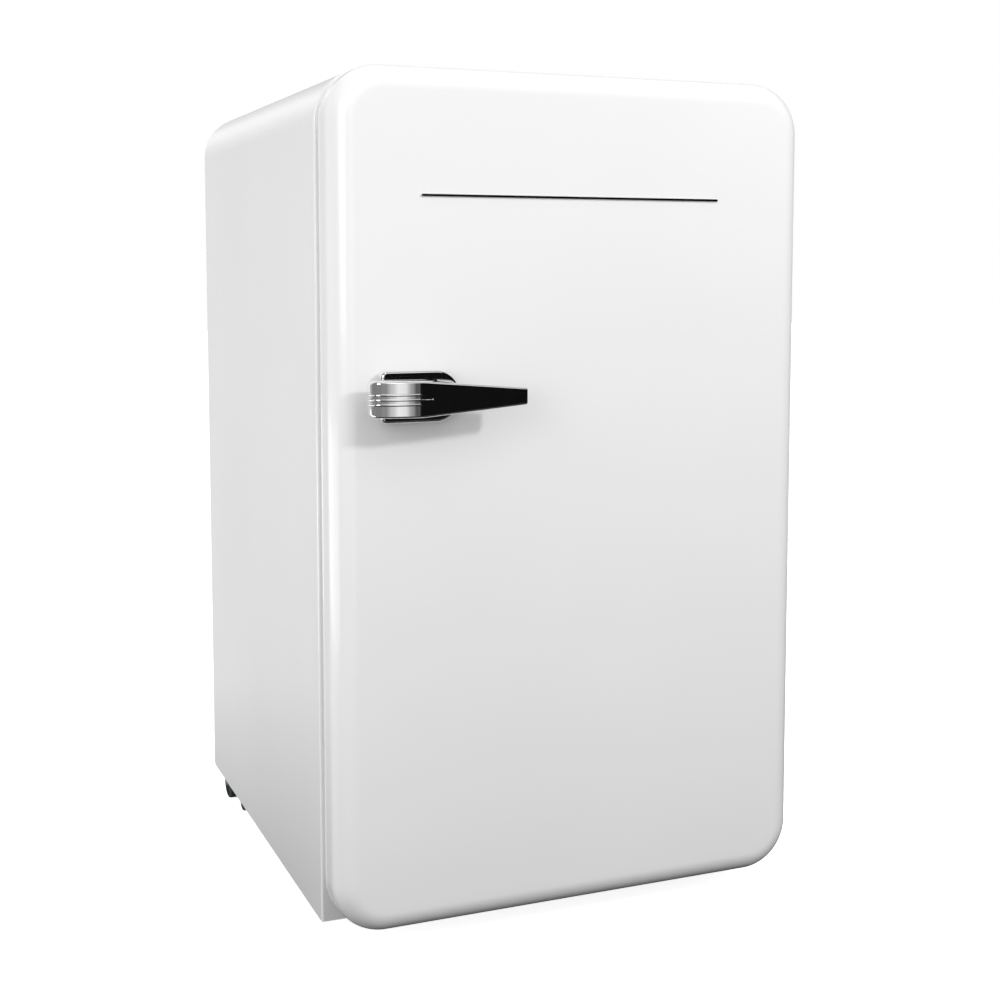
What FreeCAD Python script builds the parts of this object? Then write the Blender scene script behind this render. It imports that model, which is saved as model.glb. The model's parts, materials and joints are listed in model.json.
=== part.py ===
import FreeCAD, Part
import math
import os

# Free-standing compact refrigerator with a rounded retro door, as separate sub-parts.
# Millimetres. X to the right, Y to the rear, Z up. The origin is on the floor, under the middle
# of the whole object (handle included), so the door faces -Y.

# ---------------------------------------------------------------- outside
WIDTH = 486.0            # cabinet and door alike
HEIGHT = 800.0           # cabinet and door alike, above the floor clearance
FLOOR_GAP = 22.0         # floor to the underside of the cabinet and the door
CABINET_DEPTH = 500.0
GASKET_GAP = 15.0        # between the cabinet's front face and the back of the door
DOOR_DEPTH = 40.0
HANDLE_REACH = 44.0      # how far the handle stands off the door's face
CORNER_R = 50.0          # top corners of the cabinet, all four corners of the door
DOOR_EDGE_R = 22.0       # rounding of the door's front edge
FOOT_CORNER_R = 8.0      # lower rear corner of the side sheets

# ---------------------------------------------------------------- walls
SHEET = 1.0              # painted steel
PLASTIC = 2.0            # vacuum-formed liners
SIDE_WALL = 40.0
END_WALL = 42.0          # above and below the cavity
REAR_WALL = 43.0
FRONT_FLANGE = 20.0      # folded edge of the outer sheet round the cabinet's front
REAR_FLANGE = 12.0
PANEL = 1.2              # rear panel
BAY_DEPTH = 175.0        # compressor bay, from the rear
BAY_HEIGHT = 195.0       # compressor bay, above the cabinet's underside
BAY_HALF = 226.0
BAY_SILL = 45.0          # below this height the bay is as wide as the cabinet
STEP_WALL = 35.0         # insulation between the bay and the cavity
CAVITY_R = 18.0

# ---------------------------------------------------------------- derived places
HALF_W = WIDTH / 2
Z_BOTTOM = FLOOR_GAP
Z_TOP = FLOOR_GAP + HEIGHT
Y_HANDLE = -(CABINET_DEPTH + GASKET_GAP + DOOR_DEPTH + HANDLE_REACH) / 2
Y_DOOR_FACE = Y_HANDLE + HANDLE_REACH
Y_DOOR_BACK = Y_DOOR_FACE + DOOR_DEPTH
Y_FRONT = Y_DOOR_BACK + GASKET_GAP
Y_REAR = Y_FRONT + CABINET_DEPTH
Y_PANEL = Y_REAR - SHEET - PANEL
Y_BAY = Y_REAR - BAY_DEPTH
Z_BAY = Z_BOTTOM + BAY_HEIGHT
CAVITY_X = HALF_W - SIDE_WALL
CAVITY_FLOOR = Z_BOTTOM + END_WALL
CAVITY_TOP = Z_TOP - END_WALL
CAVITY_BACK = Y_REAR - REAR_WALL
STEP_Y = Y_BAY - STEP_WALL
STEP_Z = Z_BAY + STEP_WALL

# ---------------------------------------------------------------- door hinge
PIVOT_X = HALF_W - 14.0
PIVOT_Y = Y_DOOR_BACK - 14.0
HINGE_PIN_R = 3.0
HINGE_PIN = 15.0
HINGE_INSET = 40.0       # hinge tongue from the door's top or bottom edge
BUSH_R = 6.0
HINGE_SCREW_R = 2.0
TONGUE = 3.0
TONGUE_HALF = 5.5
RUNNING = 0.05           # radial clearance of every pin or stem that turns or slides

# ---------------------------------------------------------------- door fittings
GASKET_INSET = 21.0
GASKET_WIDTH = 14.0
GASKET_CLEAR = 0.3
RACK_REACH = 85.0        # door racks, from the back of the door
RIB_REACH = 45.0         # raised ribs of the door liner that carry the racks
RIB_LEFT = -188.0
RIB_RIGHT = 181.0
RIB_WIDTH = 16.0
RIB_BOTTOM = 92.0
RIB_TOP = 590.0
RACKS = {"door_rack_bottle": (96.0, 72.0), "door_rack_middle": (376.0, 54.0), "door_rack_top": (516.0, 54.0)}
RACK_WALL = 2.5
TRIM_CENTRE = -7.2
TRIM_LENGTH = 305.0
TRIM_Z = Z_BOTTOM + 683.6
TRIM_HALF = 1.25
TRIM_PROUD = 1.5

# ---------------------------------------------------------------- handle, from the door's left edge
HANDLE_Z = Z_BOTTOM + 502.9
BASE_LEFT = -HALF_W + 41.0
BASE_ARC_X = -HALF_W + 93.0
BASE_HALF = 23.5
BASE_HEIGHT = 13.0
LEVER_LEFT = -HALF_W + 25.5
LEVER_TIP = -HALF_W + 170.5
LEVER_HUB_END = -HALF_W + 73.0
LEVER_HALF = 16.2        # half the hub's height
LEVER_TIP_HALF = 7.6     # half the tip's height
LEVER_PIVOT_X = -HALF_W + 50.5
LEVER_PIVOT_Y = Y_DOOR_FACE - 25.0
LUG_R = 6.5
LUG_HALF = 8.0
LEVER_PIN_R = 2.5
PIN_HALF = 13.5
SPRING_R = 3.8
SPRING_WIRE = 0.4
SPRING_TURNS = 4
HANDLE_SCREWS = (BASE_LEFT + 22.0, BASE_LEFT + 50.0)
HANDLE_SCREW_R = 2.5
HANDLE_HEAD_R = 5.0

# ---------------------------------------------------------------- inside
SHELF_FRONT = Y_DOOR_BACK + 95.0
SHELF_BACK = CAVITY_BACK - 5.0
SHELF_HALF = CAVITY_X - 6.0
GLASS = 4.0
SHELVES = {"lower_shelf": 345.0, "upper_shelf": 490.0}
LID_Z = 214.0
LID_FRONT = Y_DOOR_BACK + 115.0
LEDGE = 11.0
DRAWER_HALF = 182.0
DRAWER_FRONT = Y_DOOR_BACK + 135.0
DRAWER_BOTTOM = CAVITY_FLOOR + 1.0
DRAWER_TOP = 204.0
DRAWER_WALL = 2.5
DRAWER_LIP = 10.0
FREEZER_FRONT = Y_DOOR_BACK + 130.0
FREEZER_BACK = CAVITY_BACK - 10.0
FREEZER_HALF = 186.0
FREEZER_BOTTOM = 645.0
FREEZER_TOP = 762.0
FREEZER_SHEET = 1.6
FRAME_HALF = 196.0
FRAME_DEPTH = 18.0
FLAP_HALF = 184.0
FLAP_BOTTOM = 648.0
FLAP_PIVOT_Z = 760.0
FLAP_PIN_R = 2.0
FLAP_SHEET = 3.0
TRAY_HALF = 178.0        # drip tray under the freezer box
TRAY_Z0 = 600.0
TRAY_Z1 = 628.0
HOUSING = (168.0, CAVITY_X, 20.0, 100.0, 522.0, 584.0)
DIAL_R = 17.0
DIAL_DEPTH = 9.0

# ---------------------------------------------------------------- running gear
REAR_WHEEL = {"r": 19.5, "y": Y_REAR - 65.5, "inner": HALF_W - 19.0, "outer": HALF_W - 3.0}
GUIDE_WHEEL = {"r": 13.0, "y": Y_REAR - 116.5, "inner": HALF_W - 21.0, "outer": HALF_W - 9.0}
AXLE_R = 3.0
AXLE_HEAD = 1.0
AXLE_PLAY = 0.4          # between a wheel and what holds it on its axle
WING_TOP = 42.0          # turned-up sides of the base plate
CHEEK = 1.5
CHEEK_X = HALF_W - 28.0
FOOT_X = HALF_W - 45.0
FOOT_Y = Y_FRONT + 75.0
FOOT_R = 16.0
FOOT_PAD = 9.0
STEM_R = 4.0
STEM_TOP = 44.0
NUT_R = 9.0
NUT_TOP = 34.0
STEM_POCKET_TOP = 56.0

# ---------------------------------------------------------------- cooling system
BASE_SHEET = 1.5
COMP_X = -40.0
COMP_Y = Y_BAY + 84.0
COMP_R = 60.0
COMP_BOTTOM = 42.0
COMP_TOP = 178.0
COMP_FOOT_X = 76.0       # half the distance between mounting bolts
COMP_FOOT_Y = 42.0
GROMMET_R = 9.0
GROMMET_TOP = 37.0
PAN_BOTTOM = 181.0       # evaporation tray over the compressor
PAN_TOP = 205.0
DRAIN_X = 20.0
DRAIN_Y = 215.0
DRAIN_R = 5.0
DRAIN_END = 202.0
LINE_R = 3.0
LINE_PLACES = ((-140.0, Y_BAY + 60.0), (120.0, Y_BAY + 60.0))
DRIER_X = 150.0
DRIER_Y = Y_BAY + 110.0
CORD_HOLE_R = 8.0
CORD_X = 170.0
CORD_Z = 39.0
COND_R = 2.4
COND_RUNS = 8
COND_PITCH = 50.0
COND_BEND = 15.0
COND_Y0 = Y_FRONT + 60.0
COND_Z0 = 110.0
COND_Z1 = 740.0

X_AXIS = FreeCAD.Vector(1, 0, 0)
Y_AXIS = FreeCAD.Vector(0, 1, 0)
Z_AXIS = FreeCAD.Vector(0, 0, 1)


# ================================================================ helpers
def vec(x, y, z):
    return FreeCAD.Vector(x, y, z)


def box(x0, x1, y0, y1, z0, z1):
    return Part.makeBox(x1 - x0, y1 - y0, z1 - z0, vec(x0, y0, z0))


def rod(radius, start, direction, length):
    return Part.makeCylinder(radius, length, start, direction)


def edges_along(solid, direction, keep=None):
    found = []
    for edge in solid.Edges:
        if not isinstance(edge.Curve, Part.Line):
            continue
        if abs(edge.tangentAt(edge.FirstParameter).dot(direction)) < 0.999:
            continue
        if keep is None or keep(edge.CenterOfMass):
            found.append(edge)
    return found


def soft_box(x0, x1, y0, y1, z0, z1, radius, direction=Y_AXIS, keep=None):
    """A box whose edges along one direction are rounded."""
    solid = box(x0, x1, y0, y1, z0, z1)
    return solid.makeFillet(radius, edges_along(solid, direction, keep))


def edges_in_plane(solid, axis, place):
    """Edges that lie wholly in the plane where the given coordinate has the given value."""
    found = []
    for edge in solid.Edges:
        low = getattr(edge.BoundBox, axis + "Min")
        high = getattr(edge.BoundBox, axis + "Max")
        if abs(low - place) < 0.01 and abs(high - place) < 0.01:
            found.append(edge)
    return found


def prism(points, direction):
    """A straight-sided solid on a closed outline of points."""
    wire = Part.makePolygon(points + [points[0]])
    return Part.Face(wire).extrude(direction)


def tube(points, radius, bend):
    """A round tube or bar along straight runs that are joined by tangent arcs."""
    edges = []
    start = points[0]
    for before, corner, after in zip(points, points[1:], points[2:]):
        back = (before - corner).normalize()
        ahead = (after - corner).normalize()
        half = math.acos(max(-1.0, min(1.0, back.dot(ahead)))) / 2
        reach = bend / math.tan(half)
        entry = corner + back * reach
        leave = corner + ahead * reach
        inward = (back + ahead).normalize()
        middle = corner + inward * (bend / math.sin(half) - bend)
        edges.append(Part.LineSegment(start, entry).toShape())
        edges.append(Part.Arc(entry, middle, leave).toShape())
        start = leave
    edges.append(Part.LineSegment(start, points[-1]).toShape())
    path = Part.Wire(edges)
    first = (points[1] - points[0]).normalize()
    ring = Part.Wire([Part.Circle(points[0], first, radius).toShape()])
    return path.makePipeShell([ring], True, True)


def save(name, *solids):
    shape = solids[0] if len(solids) == 1 else Part.makeCompound(list(solids))
    if len(shape.Solids) < 1 or not shape.isValid():
        raise RuntimeError(name + " is not a valid solid")
    shape.exportStep("parts/" + name + ".step")


def both_sides(solid):
    return solid, solid.mirror(vec(0, 0, 0), X_AXIS)


# ================================================================ cabinet
def cabinet_block(inset, y0, y1, z0):
    """The cabinet's outline with its two rounded top corners, drawn in by an inset."""
    side = HALF_W - inset
    top = Z_TOP - inset
    return soft_box(-side, side, y0, y1, z0, top, CORNER_R - inset, Y_AXIS, lambda c: c.z > top - 1)


def cabinet_shell():
    """One painted sheet folded over both sides and the top, with folded front and rear edges."""
    outer = cabinet_block(0, Y_FRONT, Y_REAR, Z_BOTTOM)
    hollow = cabinet_block(SHEET, Y_FRONT + SHEET, Y_REAR - SHEET, Z_BOTTOM - 5)
    front = cabinet_block(FRONT_FLANGE, Y_FRONT - 5, Y_FRONT + 5, Z_BOTTOM - 5)
    rear = cabinet_block(REAR_FLANGE, Y_REAR - 5, Y_REAR + 5, Z_BOTTOM - 5)
    corner = box(-HALF_W - 1, HALF_W + 1, Y_REAR - FOOT_CORNER_R, Y_REAR + 1, Z_BOTTOM - 1,
                 Z_BOTTOM + FOOT_CORNER_R)
    round_off = rod(FOOT_CORNER_R, vec(-HALF_W - 2, Y_REAR - FOOT_CORNER_R, Z_BOTTOM + FOOT_CORNER_R),
                    X_AXIS, WIDTH + 4)
    return outer.cut([hollow, front, rear, corner.cut(round_off)] + hinge_screw_shanks())


def front_bottom_rail():
    """Folded steel rail that closes the cabinet's front face below the cavity."""
    side = HALF_W - FRONT_FLANGE
    top = Z_BOTTOM + FRONT_FLANGE
    face = box(-side, side, Y_FRONT, Y_FRONT + SHEET, Z_BOTTOM, top)
    foot = box(-side, side, Y_FRONT, Y_FRONT + 26, Z_BOTTOM, Z_BOTTOM + SHEET)
    lip = box(-side, side, Y_FRONT, Y_FRONT + 10, top - SHEET, top)
    return face.fuse([foot, lip]).removeSplitter()


def cavity(grow):
    """The space inside the liner, or the liner's outside when grown by its thickness."""
    x = CAVITY_X + grow
    room = soft_box(-x, x, Y_FRONT - 1, CAVITY_BACK + grow, CAVITY_FLOOR - grow, CAVITY_TOP + grow,
                    CAVITY_R + grow)
    step = box(-x - 5, x + 5, STEP_Y + grow, CAVITY_BACK + 20, CAVITY_FLOOR - 20, STEP_Z - grow)
    return room.cut(step)


def ledges(height, front, back):
    """A ledge under a shelf's glass and a short lip over its rear end, on one side wall."""
    under = height - GASKET_CLEAR
    over = height + GLASS + GASKET_CLEAR
    inner = CAVITY_X - LEDGE
    low = box(inner, CAVITY_X + PLASTIC / 2, front, back, under - 7, under)
    high = box(inner + 3, CAVITY_X + PLASTIC / 2, back - 70, back, over, over + 5)
    return [low, high]


def inner_liner():
    """Vacuum-formed cavity liner with its front flange, the step over the bay and the shelf ledges."""
    flange_side = HALF_W - FRONT_FLANGE
    flange_bottom = Z_BOTTOM + FRONT_FLANGE
    flange_top = Z_TOP - FRONT_FLANGE
    flange = soft_box(-flange_side, flange_side, Y_FRONT, Y_FRONT + PLASTIC, flange_bottom, flange_top,
                      CORNER_R - FRONT_FLANGE, Y_AXIS, lambda c: c.z > flange_top - 1)
    outside = cavity(PLASTIC).cut(box(-HALF_W, HALF_W, Y_FRONT - 5, Y_FRONT, 0, Z_TOP))
    skin = outside.fuse(flange).cut(cavity(0))
    rails = []
    for height in SHELVES.values():
        rails += ledges(height, SHELF_FRONT + 10, CAVITY_BACK - 2)
    rails += ledges(LID_Z, LID_FRONT + 10, STEP_Y - 2)
    mirrored = [rail.mirror(vec(0, 0, 0), X_AXIS) for rail in rails]
    drain = rod(DRAIN_R, vec(DRAIN_X, DRAIN_Y, STEP_Z - 5), Z_AXIS, 10)
    return skin.fuse(rails + mirrored).removeSplitter().cut(drain)


def bay(grow):
    """The compressor bay: narrow above its sill, as wide as the cabinet below it."""
    upper = box(-BAY_HALF + grow, BAY_HALF - grow, Y_BAY + grow, Y_REAR + 5, Z_BOTTOM - 5, Z_BAY - grow)
    side = HALF_W - SHEET
    lower = box(-side, side, Y_BAY + grow, Y_REAR + 5, Z_BOTTOM - 5, BAY_SILL - grow)
    return upper.fuse(lower)


def compressor_bay_liner():
    """Galvanised sheet that closes the insulation towards the compressor bay."""
    whole = bay(0).common(box(-HALF_W + SHEET, HALF_W - SHEET, Y_BAY - 5, Y_PANEL, Z_BOTTOM + BASE_SHEET,
                              Z_TOP))
    skin = whole.cut(bay(SHEET))
    return skin.cut([drain_rod(DRAIN_R)] + line_holes())


def condenser_grooves():
    """Slots in the insulation's side for the tube that is fixed to the inside of the side sheet."""
    grooves = []
    face = HALF_W - SHEET
    deep = face - 2 * COND_R - 0.4
    last = COND_Y0 + (COND_RUNS - 1) * COND_PITCH
    for run in range(COND_RUNS):
        y = COND_Y0 + run * COND_PITCH
        grooves.append(box(deep, face + 1, y - 3, y + 3, COND_Z0, COND_Z1))
    for z0, z1 in ((COND_Z0 - 4, COND_Z0 + COND_BEND + 3), (COND_Z1 - COND_BEND - 3, COND_Z1 + 4)):
        grooves.append(box(deep, face + 1, COND_Y0 - 3, last + 3, z0, z1))
    return grooves


def skin_condenser():
    """Serpentine tube against one side sheet."""
    x = HALF_W - SHEET - COND_R - 0.1
    points = []
    for run in range(COND_RUNS):
        y = COND_Y0 + run * COND_PITCH
        ends = (COND_Z0, COND_Z1) if run % 2 == 0 else (COND_Z1, COND_Z0)
        points.append(vec(x, y, ends[0]))
        points.append(vec(x, y, ends[1]))
    return tube(points, COND_R, COND_BEND)


def cabinet_insulation():
    """Foam body between the outer sheet and the liner."""
    block = cabinet_block(SHEET, Y_FRONT + PLASTIC, Y_PANEL, Z_BOTTOM + SHEET)
    face_side = HALF_W - FRONT_FLANGE
    rail = box(-face_side, face_side, Y_FRONT, Y_FRONT + 26, Z_BOTTOM, Z_BOTTOM + FRONT_FLANGE)
    cuts = [cavity(PLASTIC), bay(0), rail, drain_rod(DRAIN_R)] + line_holes()
    for groove in condenser_grooves():
        cuts += both_sides(groove)
    for side in (-1, 1):
        cuts.append(rod(NUT_R + 1, vec(side * FOOT_X, FOOT_Y, Z_BOTTOM), Z_AXIS,
                        STEM_POCKET_TOP - Z_BOTTOM))
    for x, z in screw_places():
        cuts.append(rod(2.0, vec(x, Y_PANEL - 11, z), Y_AXIS, 12))
    cuts += hinge_screw_shanks()
    return block.cut(cuts)


def floor_pan():
    """Steel pan under the insulation, in front of the compressor bay."""
    side = HALF_W - SHEET
    rail = HALF_W - FRONT_FLANGE
    plate = box(-side, side, Y_FRONT + SHEET, Y_BAY, Z_BOTTOM, Z_BOTTOM + SHEET)
    room = box(-rail, rail, Y_FRONT, Y_FRONT + 26, Z_BOTTOM - 1, Z_BOTTOM + 2)
    holes = []
    for side_sign in (-1, 1):
        holes.append(rod(NUT_R, vec(side_sign * FOOT_X, FOOT_Y, Z_BOTTOM - 1), Z_AXIS, 3))
    return plate.cut([room] + holes)


def screw_places():
    """Fixings of the rear panel: down both edges and along the top."""
    places = []
    for z in (235.0, 425.0, 615.0, 770.0):
        places += [(-222.0, z), (222.0, z)]
    places += [(-90.0, 800.0), (90.0, 800.0)]
    return places


def back_panel():
    """Rear panel, held inside the folded rear edge of the outer sheet."""
    plate = cabinet_block(SHEET + 0.5, Y_PANEL, Y_PANEL + PANEL, Z_BAY)
    holes = [rod(2.0, vec(x, Y_PANEL - 1, z), Y_AXIS, 5) for x, z in screw_places()]
    ribs = [box(-150, 150, Y_PANEL + PANEL - 0.2, Y_PANEL + PANEL + 0.8, z, z + 12) for z in (330, 520, 710)]
    return plate.fuse(ribs).removeSplitter().cut(holes)


def pan_screw(x, z):
    """Pan-head screw that enters the rear panel from behind."""
    shank = rod(1.9, vec(x, Y_PANEL - 10, z), Y_AXIS, 10 + PANEL)
    head = rod(3.6, vec(x, Y_PANEL + PANEL, z), Y_AXIS, SHEET)
    slot = box(x - 2.2, x + 2.2, Y_REAR - 0.5, Y_REAR + 1, z - 0.4, z + 0.4)
    cross = box(x - 0.4, x + 0.4, Y_REAR - 0.5, Y_REAR + 1, z - 2.2, z + 2.2)
    return shank.fuse(head).cut([slot, cross])


# ================================================================ cooling system
def drain_rod(radius):
    return rod(radius, vec(DRAIN_X, DRAIN_Y, Z_BAY - 10), Z_AXIS, STEP_Z - Z_BAY + 12)


def line_holes():
    """Where the suction and the liquid line rise through the bay's top into the insulation."""
    return [rod(LINE_R, vec(x, y, Z_BAY - 5), Z_AXIS, 20) for x, y in LINE_PLACES]


def drain_tube():
    """Defrost drain from the cavity's step down to the evaporation tray."""
    length = STEP_Z - PLASTIC - DRAIN_END
    pipe = rod(DRAIN_R, vec(DRAIN_X, DRAIN_Y, DRAIN_END), Z_AXIS, length)
    return pipe.cut(rod(DRAIN_R - 1.2, vec(DRAIN_X, DRAIN_Y, DRAIN_END - 1), Z_AXIS, length + 2))


def compressor_base_plate():
    """Cross member under the compressor, with turned-up sides and rear edge and openings for the wheels."""
    side = HALF_W - SHEET
    z0 = Z_BOTTOM
    plate = box(-side, side, Y_BAY, Y_REAR - SHEET, z0, z0 + BASE_SHEET)
    rear = box(-side + 20, side - 20, Y_REAR - SHEET - BASE_SHEET, Y_REAR - SHEET, z0, 52.0)
    wings = both_sides(box(side - BASE_SHEET, side, Y_BAY + SHEET, Y_REAR - FOOT_CORNER_R, z0, WING_TOP))
    cuts = []
    for wheel, room in ((REAR_WHEEL, 3.5), (GUIDE_WHEEL, 2.0)):
        reach = wheel["r"] + room
        well = box(CHEEK_X - 6, wheel["outer"] + room, wheel["y"] - reach, wheel["y"] + reach, z0 - 1,
                   wheel["r"] + reach)
        cuts += both_sides(well)
    for x, y in compressor_feet():
        cuts.append(rod(GROMMET_R - 3, vec(x, y, z0 - 1), Z_AXIS, 5))
    cuts.append(rod(CORD_HOLE_R, vec(CORD_X, Y_REAR - 10, CORD_Z), Y_AXIS, 20))
    return plate.fuse([rear] + list(wings)).removeSplitter().cut(cuts)


def compressor_feet():
    return [(COMP_X + sx * COMP_FOOT_X, COMP_Y + sy * COMP_FOOT_Y) for sx in (-1, 1) for sy in (-1, 1)]


def compressor():
    """Welded steel can in two drawn halves, on a pressed foot plate."""
    mid = (COMP_BOTTOM + COMP_TOP) / 2
    can = rod(COMP_R, vec(COMP_X, COMP_Y, COMP_BOTTOM), Z_AXIS, COMP_TOP - COMP_BOTTOM)
    ends = edges_in_plane(can, "Z", COMP_BOTTOM) + edges_in_plane(can, "Z", COMP_TOP)
    can = can.makeFillet(26.0, ends)
    seam = rod(COMP_R + 3, vec(COMP_X, COMP_Y, mid - 3), Z_AXIS, 6)
    plate = soft_box(COMP_X - COMP_FOOT_X - 14, COMP_X + COMP_FOOT_X + 14, COMP_Y - COMP_FOOT_Y - 12,
                     COMP_Y + COMP_FOOT_Y + 12, GROMMET_TOP - 5, GROMMET_TOP - 2, 10, Z_AXIS)
    neck = rod(COMP_R * 0.6, vec(COMP_X, COMP_Y, GROMMET_TOP - 3), Z_AXIS, 12)
    holes = [rod(GROMMET_R - 3, vec(x, y, 20), Z_AXIS, 30) for x, y in compressor_feet()]
    return can.fuse([seam, plate, neck]).removeSplitter().cut(holes)


def grommet(x, y):
    """Rubber mount with a waist that holds the foot plate and a spigot through the base plate."""
    floor = Z_BOTTOM + BASE_SHEET
    lower = rod(GROMMET_R, vec(x, y, floor), Z_AXIS, GROMMET_TOP - 5 - floor)
    waist = rod(GROMMET_R - 3, vec(x, y, Z_BOTTOM), Z_AXIS, GROMMET_TOP - Z_BOTTOM)
    upper = rod(GROMMET_R, vec(x, y, GROMMET_TOP - 2), Z_AXIS, 4)
    return lower.fuse([waist, upper]).cut(rod(3.0, vec(x, y, 10), Z_AXIS, 40))


def mount_bolt(x, y):
    """Hexagon bolt and washer that hold a mount down."""
    shank = rod(3.0, vec(x, y, Z_BOTTOM - 1), Z_AXIS, GROMMET_TOP + 3 - Z_BOTTOM)
    washer = rod(8.0, vec(x, y, GROMMET_TOP + 2), Z_AXIS, 1.2)
    head = hexagon(x, y, GROMMET_TOP + 3.2, 5.5, 5.0)
    return shank.fuse([washer, head])


def hexagon(x, y, z, radius, height):
    points = []
    for corner in range(6):
        angle = math.radians(60 * corner)
        points.append(vec(x + radius * math.cos(angle), y + radius * math.sin(angle), z))
    return prism(points, vec(0, 0, height))


def relay_cover():
    """Plastic cover over the compressor's relay and terminals."""
    x0 = COMP_X + COMP_R - 3
    cover = soft_box(x0, x0 + 30, COMP_Y - 24, COMP_Y + 24, 72, 100, 5, Z_AXIS)
    body = rod(COMP_R, vec(COMP_X, COMP_Y, 60), Z_AXIS, 60)
    seam = rod(COMP_R + 3, vec(COMP_X, COMP_Y, 60), Z_AXIS, 60)
    return cover.cut(body).cut(seam)


def evaporation_tray():
    """Shallow tray over the warm compressor, where defrost water dries off."""
    x0 = COMP_X - 62
    x1 = COMP_X + 78
    y0 = COMP_Y - 50
    y1 = COMP_Y + 50
    outer = soft_box(x0, x1, y0, y1, PAN_BOTTOM, PAN_TOP, 16, Z_AXIS)
    inner = soft_box(x0 + 2, x1 - 2, y0 + 2, y1 - 2, PAN_BOTTOM + 2, PAN_TOP + 2, 14, Z_AXIS)
    stand = rod(20, vec(COMP_X, COMP_Y, COMP_TOP), Z_AXIS, PAN_BOTTOM - COMP_TOP)
    return outer.fuse(stand).cut(inner)


def filter_drier():
    """Copper cartridge with drawn-down ends in the liquid line."""
    body = rod(9.0, vec(DRIER_X, DRIER_Y, 80), Z_AXIS, 80)
    low = Part.makeCone(3.0, 9.0, 14, vec(DRIER_X, DRIER_Y, 66), Z_AXIS)
    high = Part.makeCone(9.0, 3.0, 14, vec(DRIER_X, DRIER_Y, 160), Z_AXIS)
    return body.fuse([low, high])


def refrigerant_tubes():
    """Suction line, discharge line and the two stubs at the drier."""
    left = COMP_X - COMP_R
    right = COMP_X + COMP_R
    (sx, sy), (lx, ly) = LINE_PLACES
    suction = tube([vec(left + 2, COMP_Y, 120), vec(sx, COMP_Y, 120), vec(sx, COMP_Y, 150),
                    vec(sx, sy, 175), vec(sx, sy, Z_BAY + 14)], LINE_R, 8)
    discharge = tube([vec(right - 2, COMP_Y, 140), vec(60, COMP_Y, 140), vec(60, COMP_Y, 60),
                      vec(DRIER_X, DRIER_Y, 40), vec(DRIER_X, DRIER_Y, 66)], 2.5, 8)
    liquid = tube([vec(DRIER_X, DRIER_Y, 174), vec(DRIER_X, DRIER_Y, 192), vec(lx, ly, 192),
                   vec(lx, ly, Z_BAY + 14)], 2.5, 8)
    can = rod(COMP_R, vec(COMP_X, COMP_Y, 60), Z_AXIS, 100)
    return suction.cut(can), discharge.cut(can), liquid


def cord_grommet():
    """Rubber inlet bush for the supply cord, in the turned-up rear edge of the base plate."""
    y0 = Y_REAR - SHEET - BASE_SHEET
    flange = rod(CORD_HOLE_R + 3, vec(CORD_X, y0 - 3, CORD_Z), Y_AXIS, 3)
    neck = rod(CORD_HOLE_R, vec(CORD_X, y0 - 3, CORD_Z), Y_AXIS, BASE_SHEET + 4)
    bore = rod(CORD_HOLE_R - 3.5, vec(CORD_X, y0 - 5, CORD_Z), Y_AXIS, 12)
    return flange.fuse(neck).cut(bore)


# ================================================================ running gear
def wheel(size, side):
    """Moulded wheel with a shallow dish on both faces and a running bore, on an axis along X."""
    width = size["outer"] - size["inner"]
    x0 = size["inner"] if side > 0 else -size["outer"]
    centre = vec(x0, size["y"], size["r"])
    solid = rod(size["r"], centre, X_AXIS, width)
    rims = edges_in_plane(solid, "X", x0) + edges_in_plane(solid, "X", x0 + width)
    solid = solid.makeFillet(2.0, rims)
    cuts = [rod(AXLE_R + RUNNING, centre - vec(1, 0, 0), X_AXIS, width + 2)]
    for start in (x0 - 1, x0 + width - 2):
        dish = rod(size["r"] - 4, vec(start, size["y"], size["r"]), X_AXIS, 3)
        hub = rod(AXLE_R + 3, vec(start - 1, size["y"], size["r"]), X_AXIS, 5)
        cuts.append(dish.cut(hub))
    return solid.cut(cuts)


def axle(size):
    """Stub axle, riveted in the bracket's cheek, with a retaining head outside the wheel."""
    start = CHEEK_X - 3
    end = size["outer"] + AXLE_PLAY
    shaft = rod(AXLE_R, vec(start, size["y"], size["r"]), X_AXIS, end - start)
    head = rod(AXLE_R + 2, vec(end, size["y"], size["r"]), X_AXIS, AXLE_HEAD)
    rivet = rod(AXLE_R + 2, vec(start - 1.5, size["y"], size["r"]), X_AXIS, 1.5)
    return shaft.fuse([head, rivet])


def roller_bracket():
    """Angle bracket under the base plate: a cheek that carries both axles and a welded foot."""
    y0 = GUIDE_WHEEL["y"] - 16
    y1 = REAR_WHEEL["y"] + 22
    cheek = box(CHEEK_X, CHEEK_X + CHEEK, y0, y1, 6.0, Z_BOTTOM)
    cheek = cheek.makeFillet(6.0, edges_along(cheek, X_AXIS, lambda c: c.z < 7))
    foot = box(CHEEK_X - 22, CHEEK_X + CHEEK, y0, y1, Z_BOTTOM - CHEEK, Z_BOTTOM)
    holes = []
    for size in (REAR_WHEEL, GUIDE_WHEEL):
        holes.append(rod(AXLE_R, vec(CHEEK_X - 5, size["y"], size["r"]), X_AXIS, size["inner"] + 5 - CHEEK_X))
        holes.append(rod(AXLE_R + 2.5, vec(CHEEK_X - 6, size["y"], size["r"]), X_AXIS, 6))
    spacers = []
    for size in (REAR_WHEEL, GUIDE_WHEEL):
        length = size["inner"] - AXLE_PLAY - CHEEK_X - CHEEK
        spacers.append(rod(AXLE_R + 3, vec(CHEEK_X + CHEEK, size["y"], size["r"]), X_AXIS, length))
    return cheek.fuse([foot] + spacers).cut(holes)


def foot_nut(x):
    """Steel nut with a flange, held in the floor pan."""
    body = rod(NUT_R, vec(x, FOOT_Y, Z_BOTTOM), Z_AXIS, NUT_TOP - Z_BOTTOM)
    return body.cut(rod(STEM_R + RUNNING, vec(x, FOOT_Y, Z_BOTTOM - 5), Z_AXIS, 40))


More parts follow.
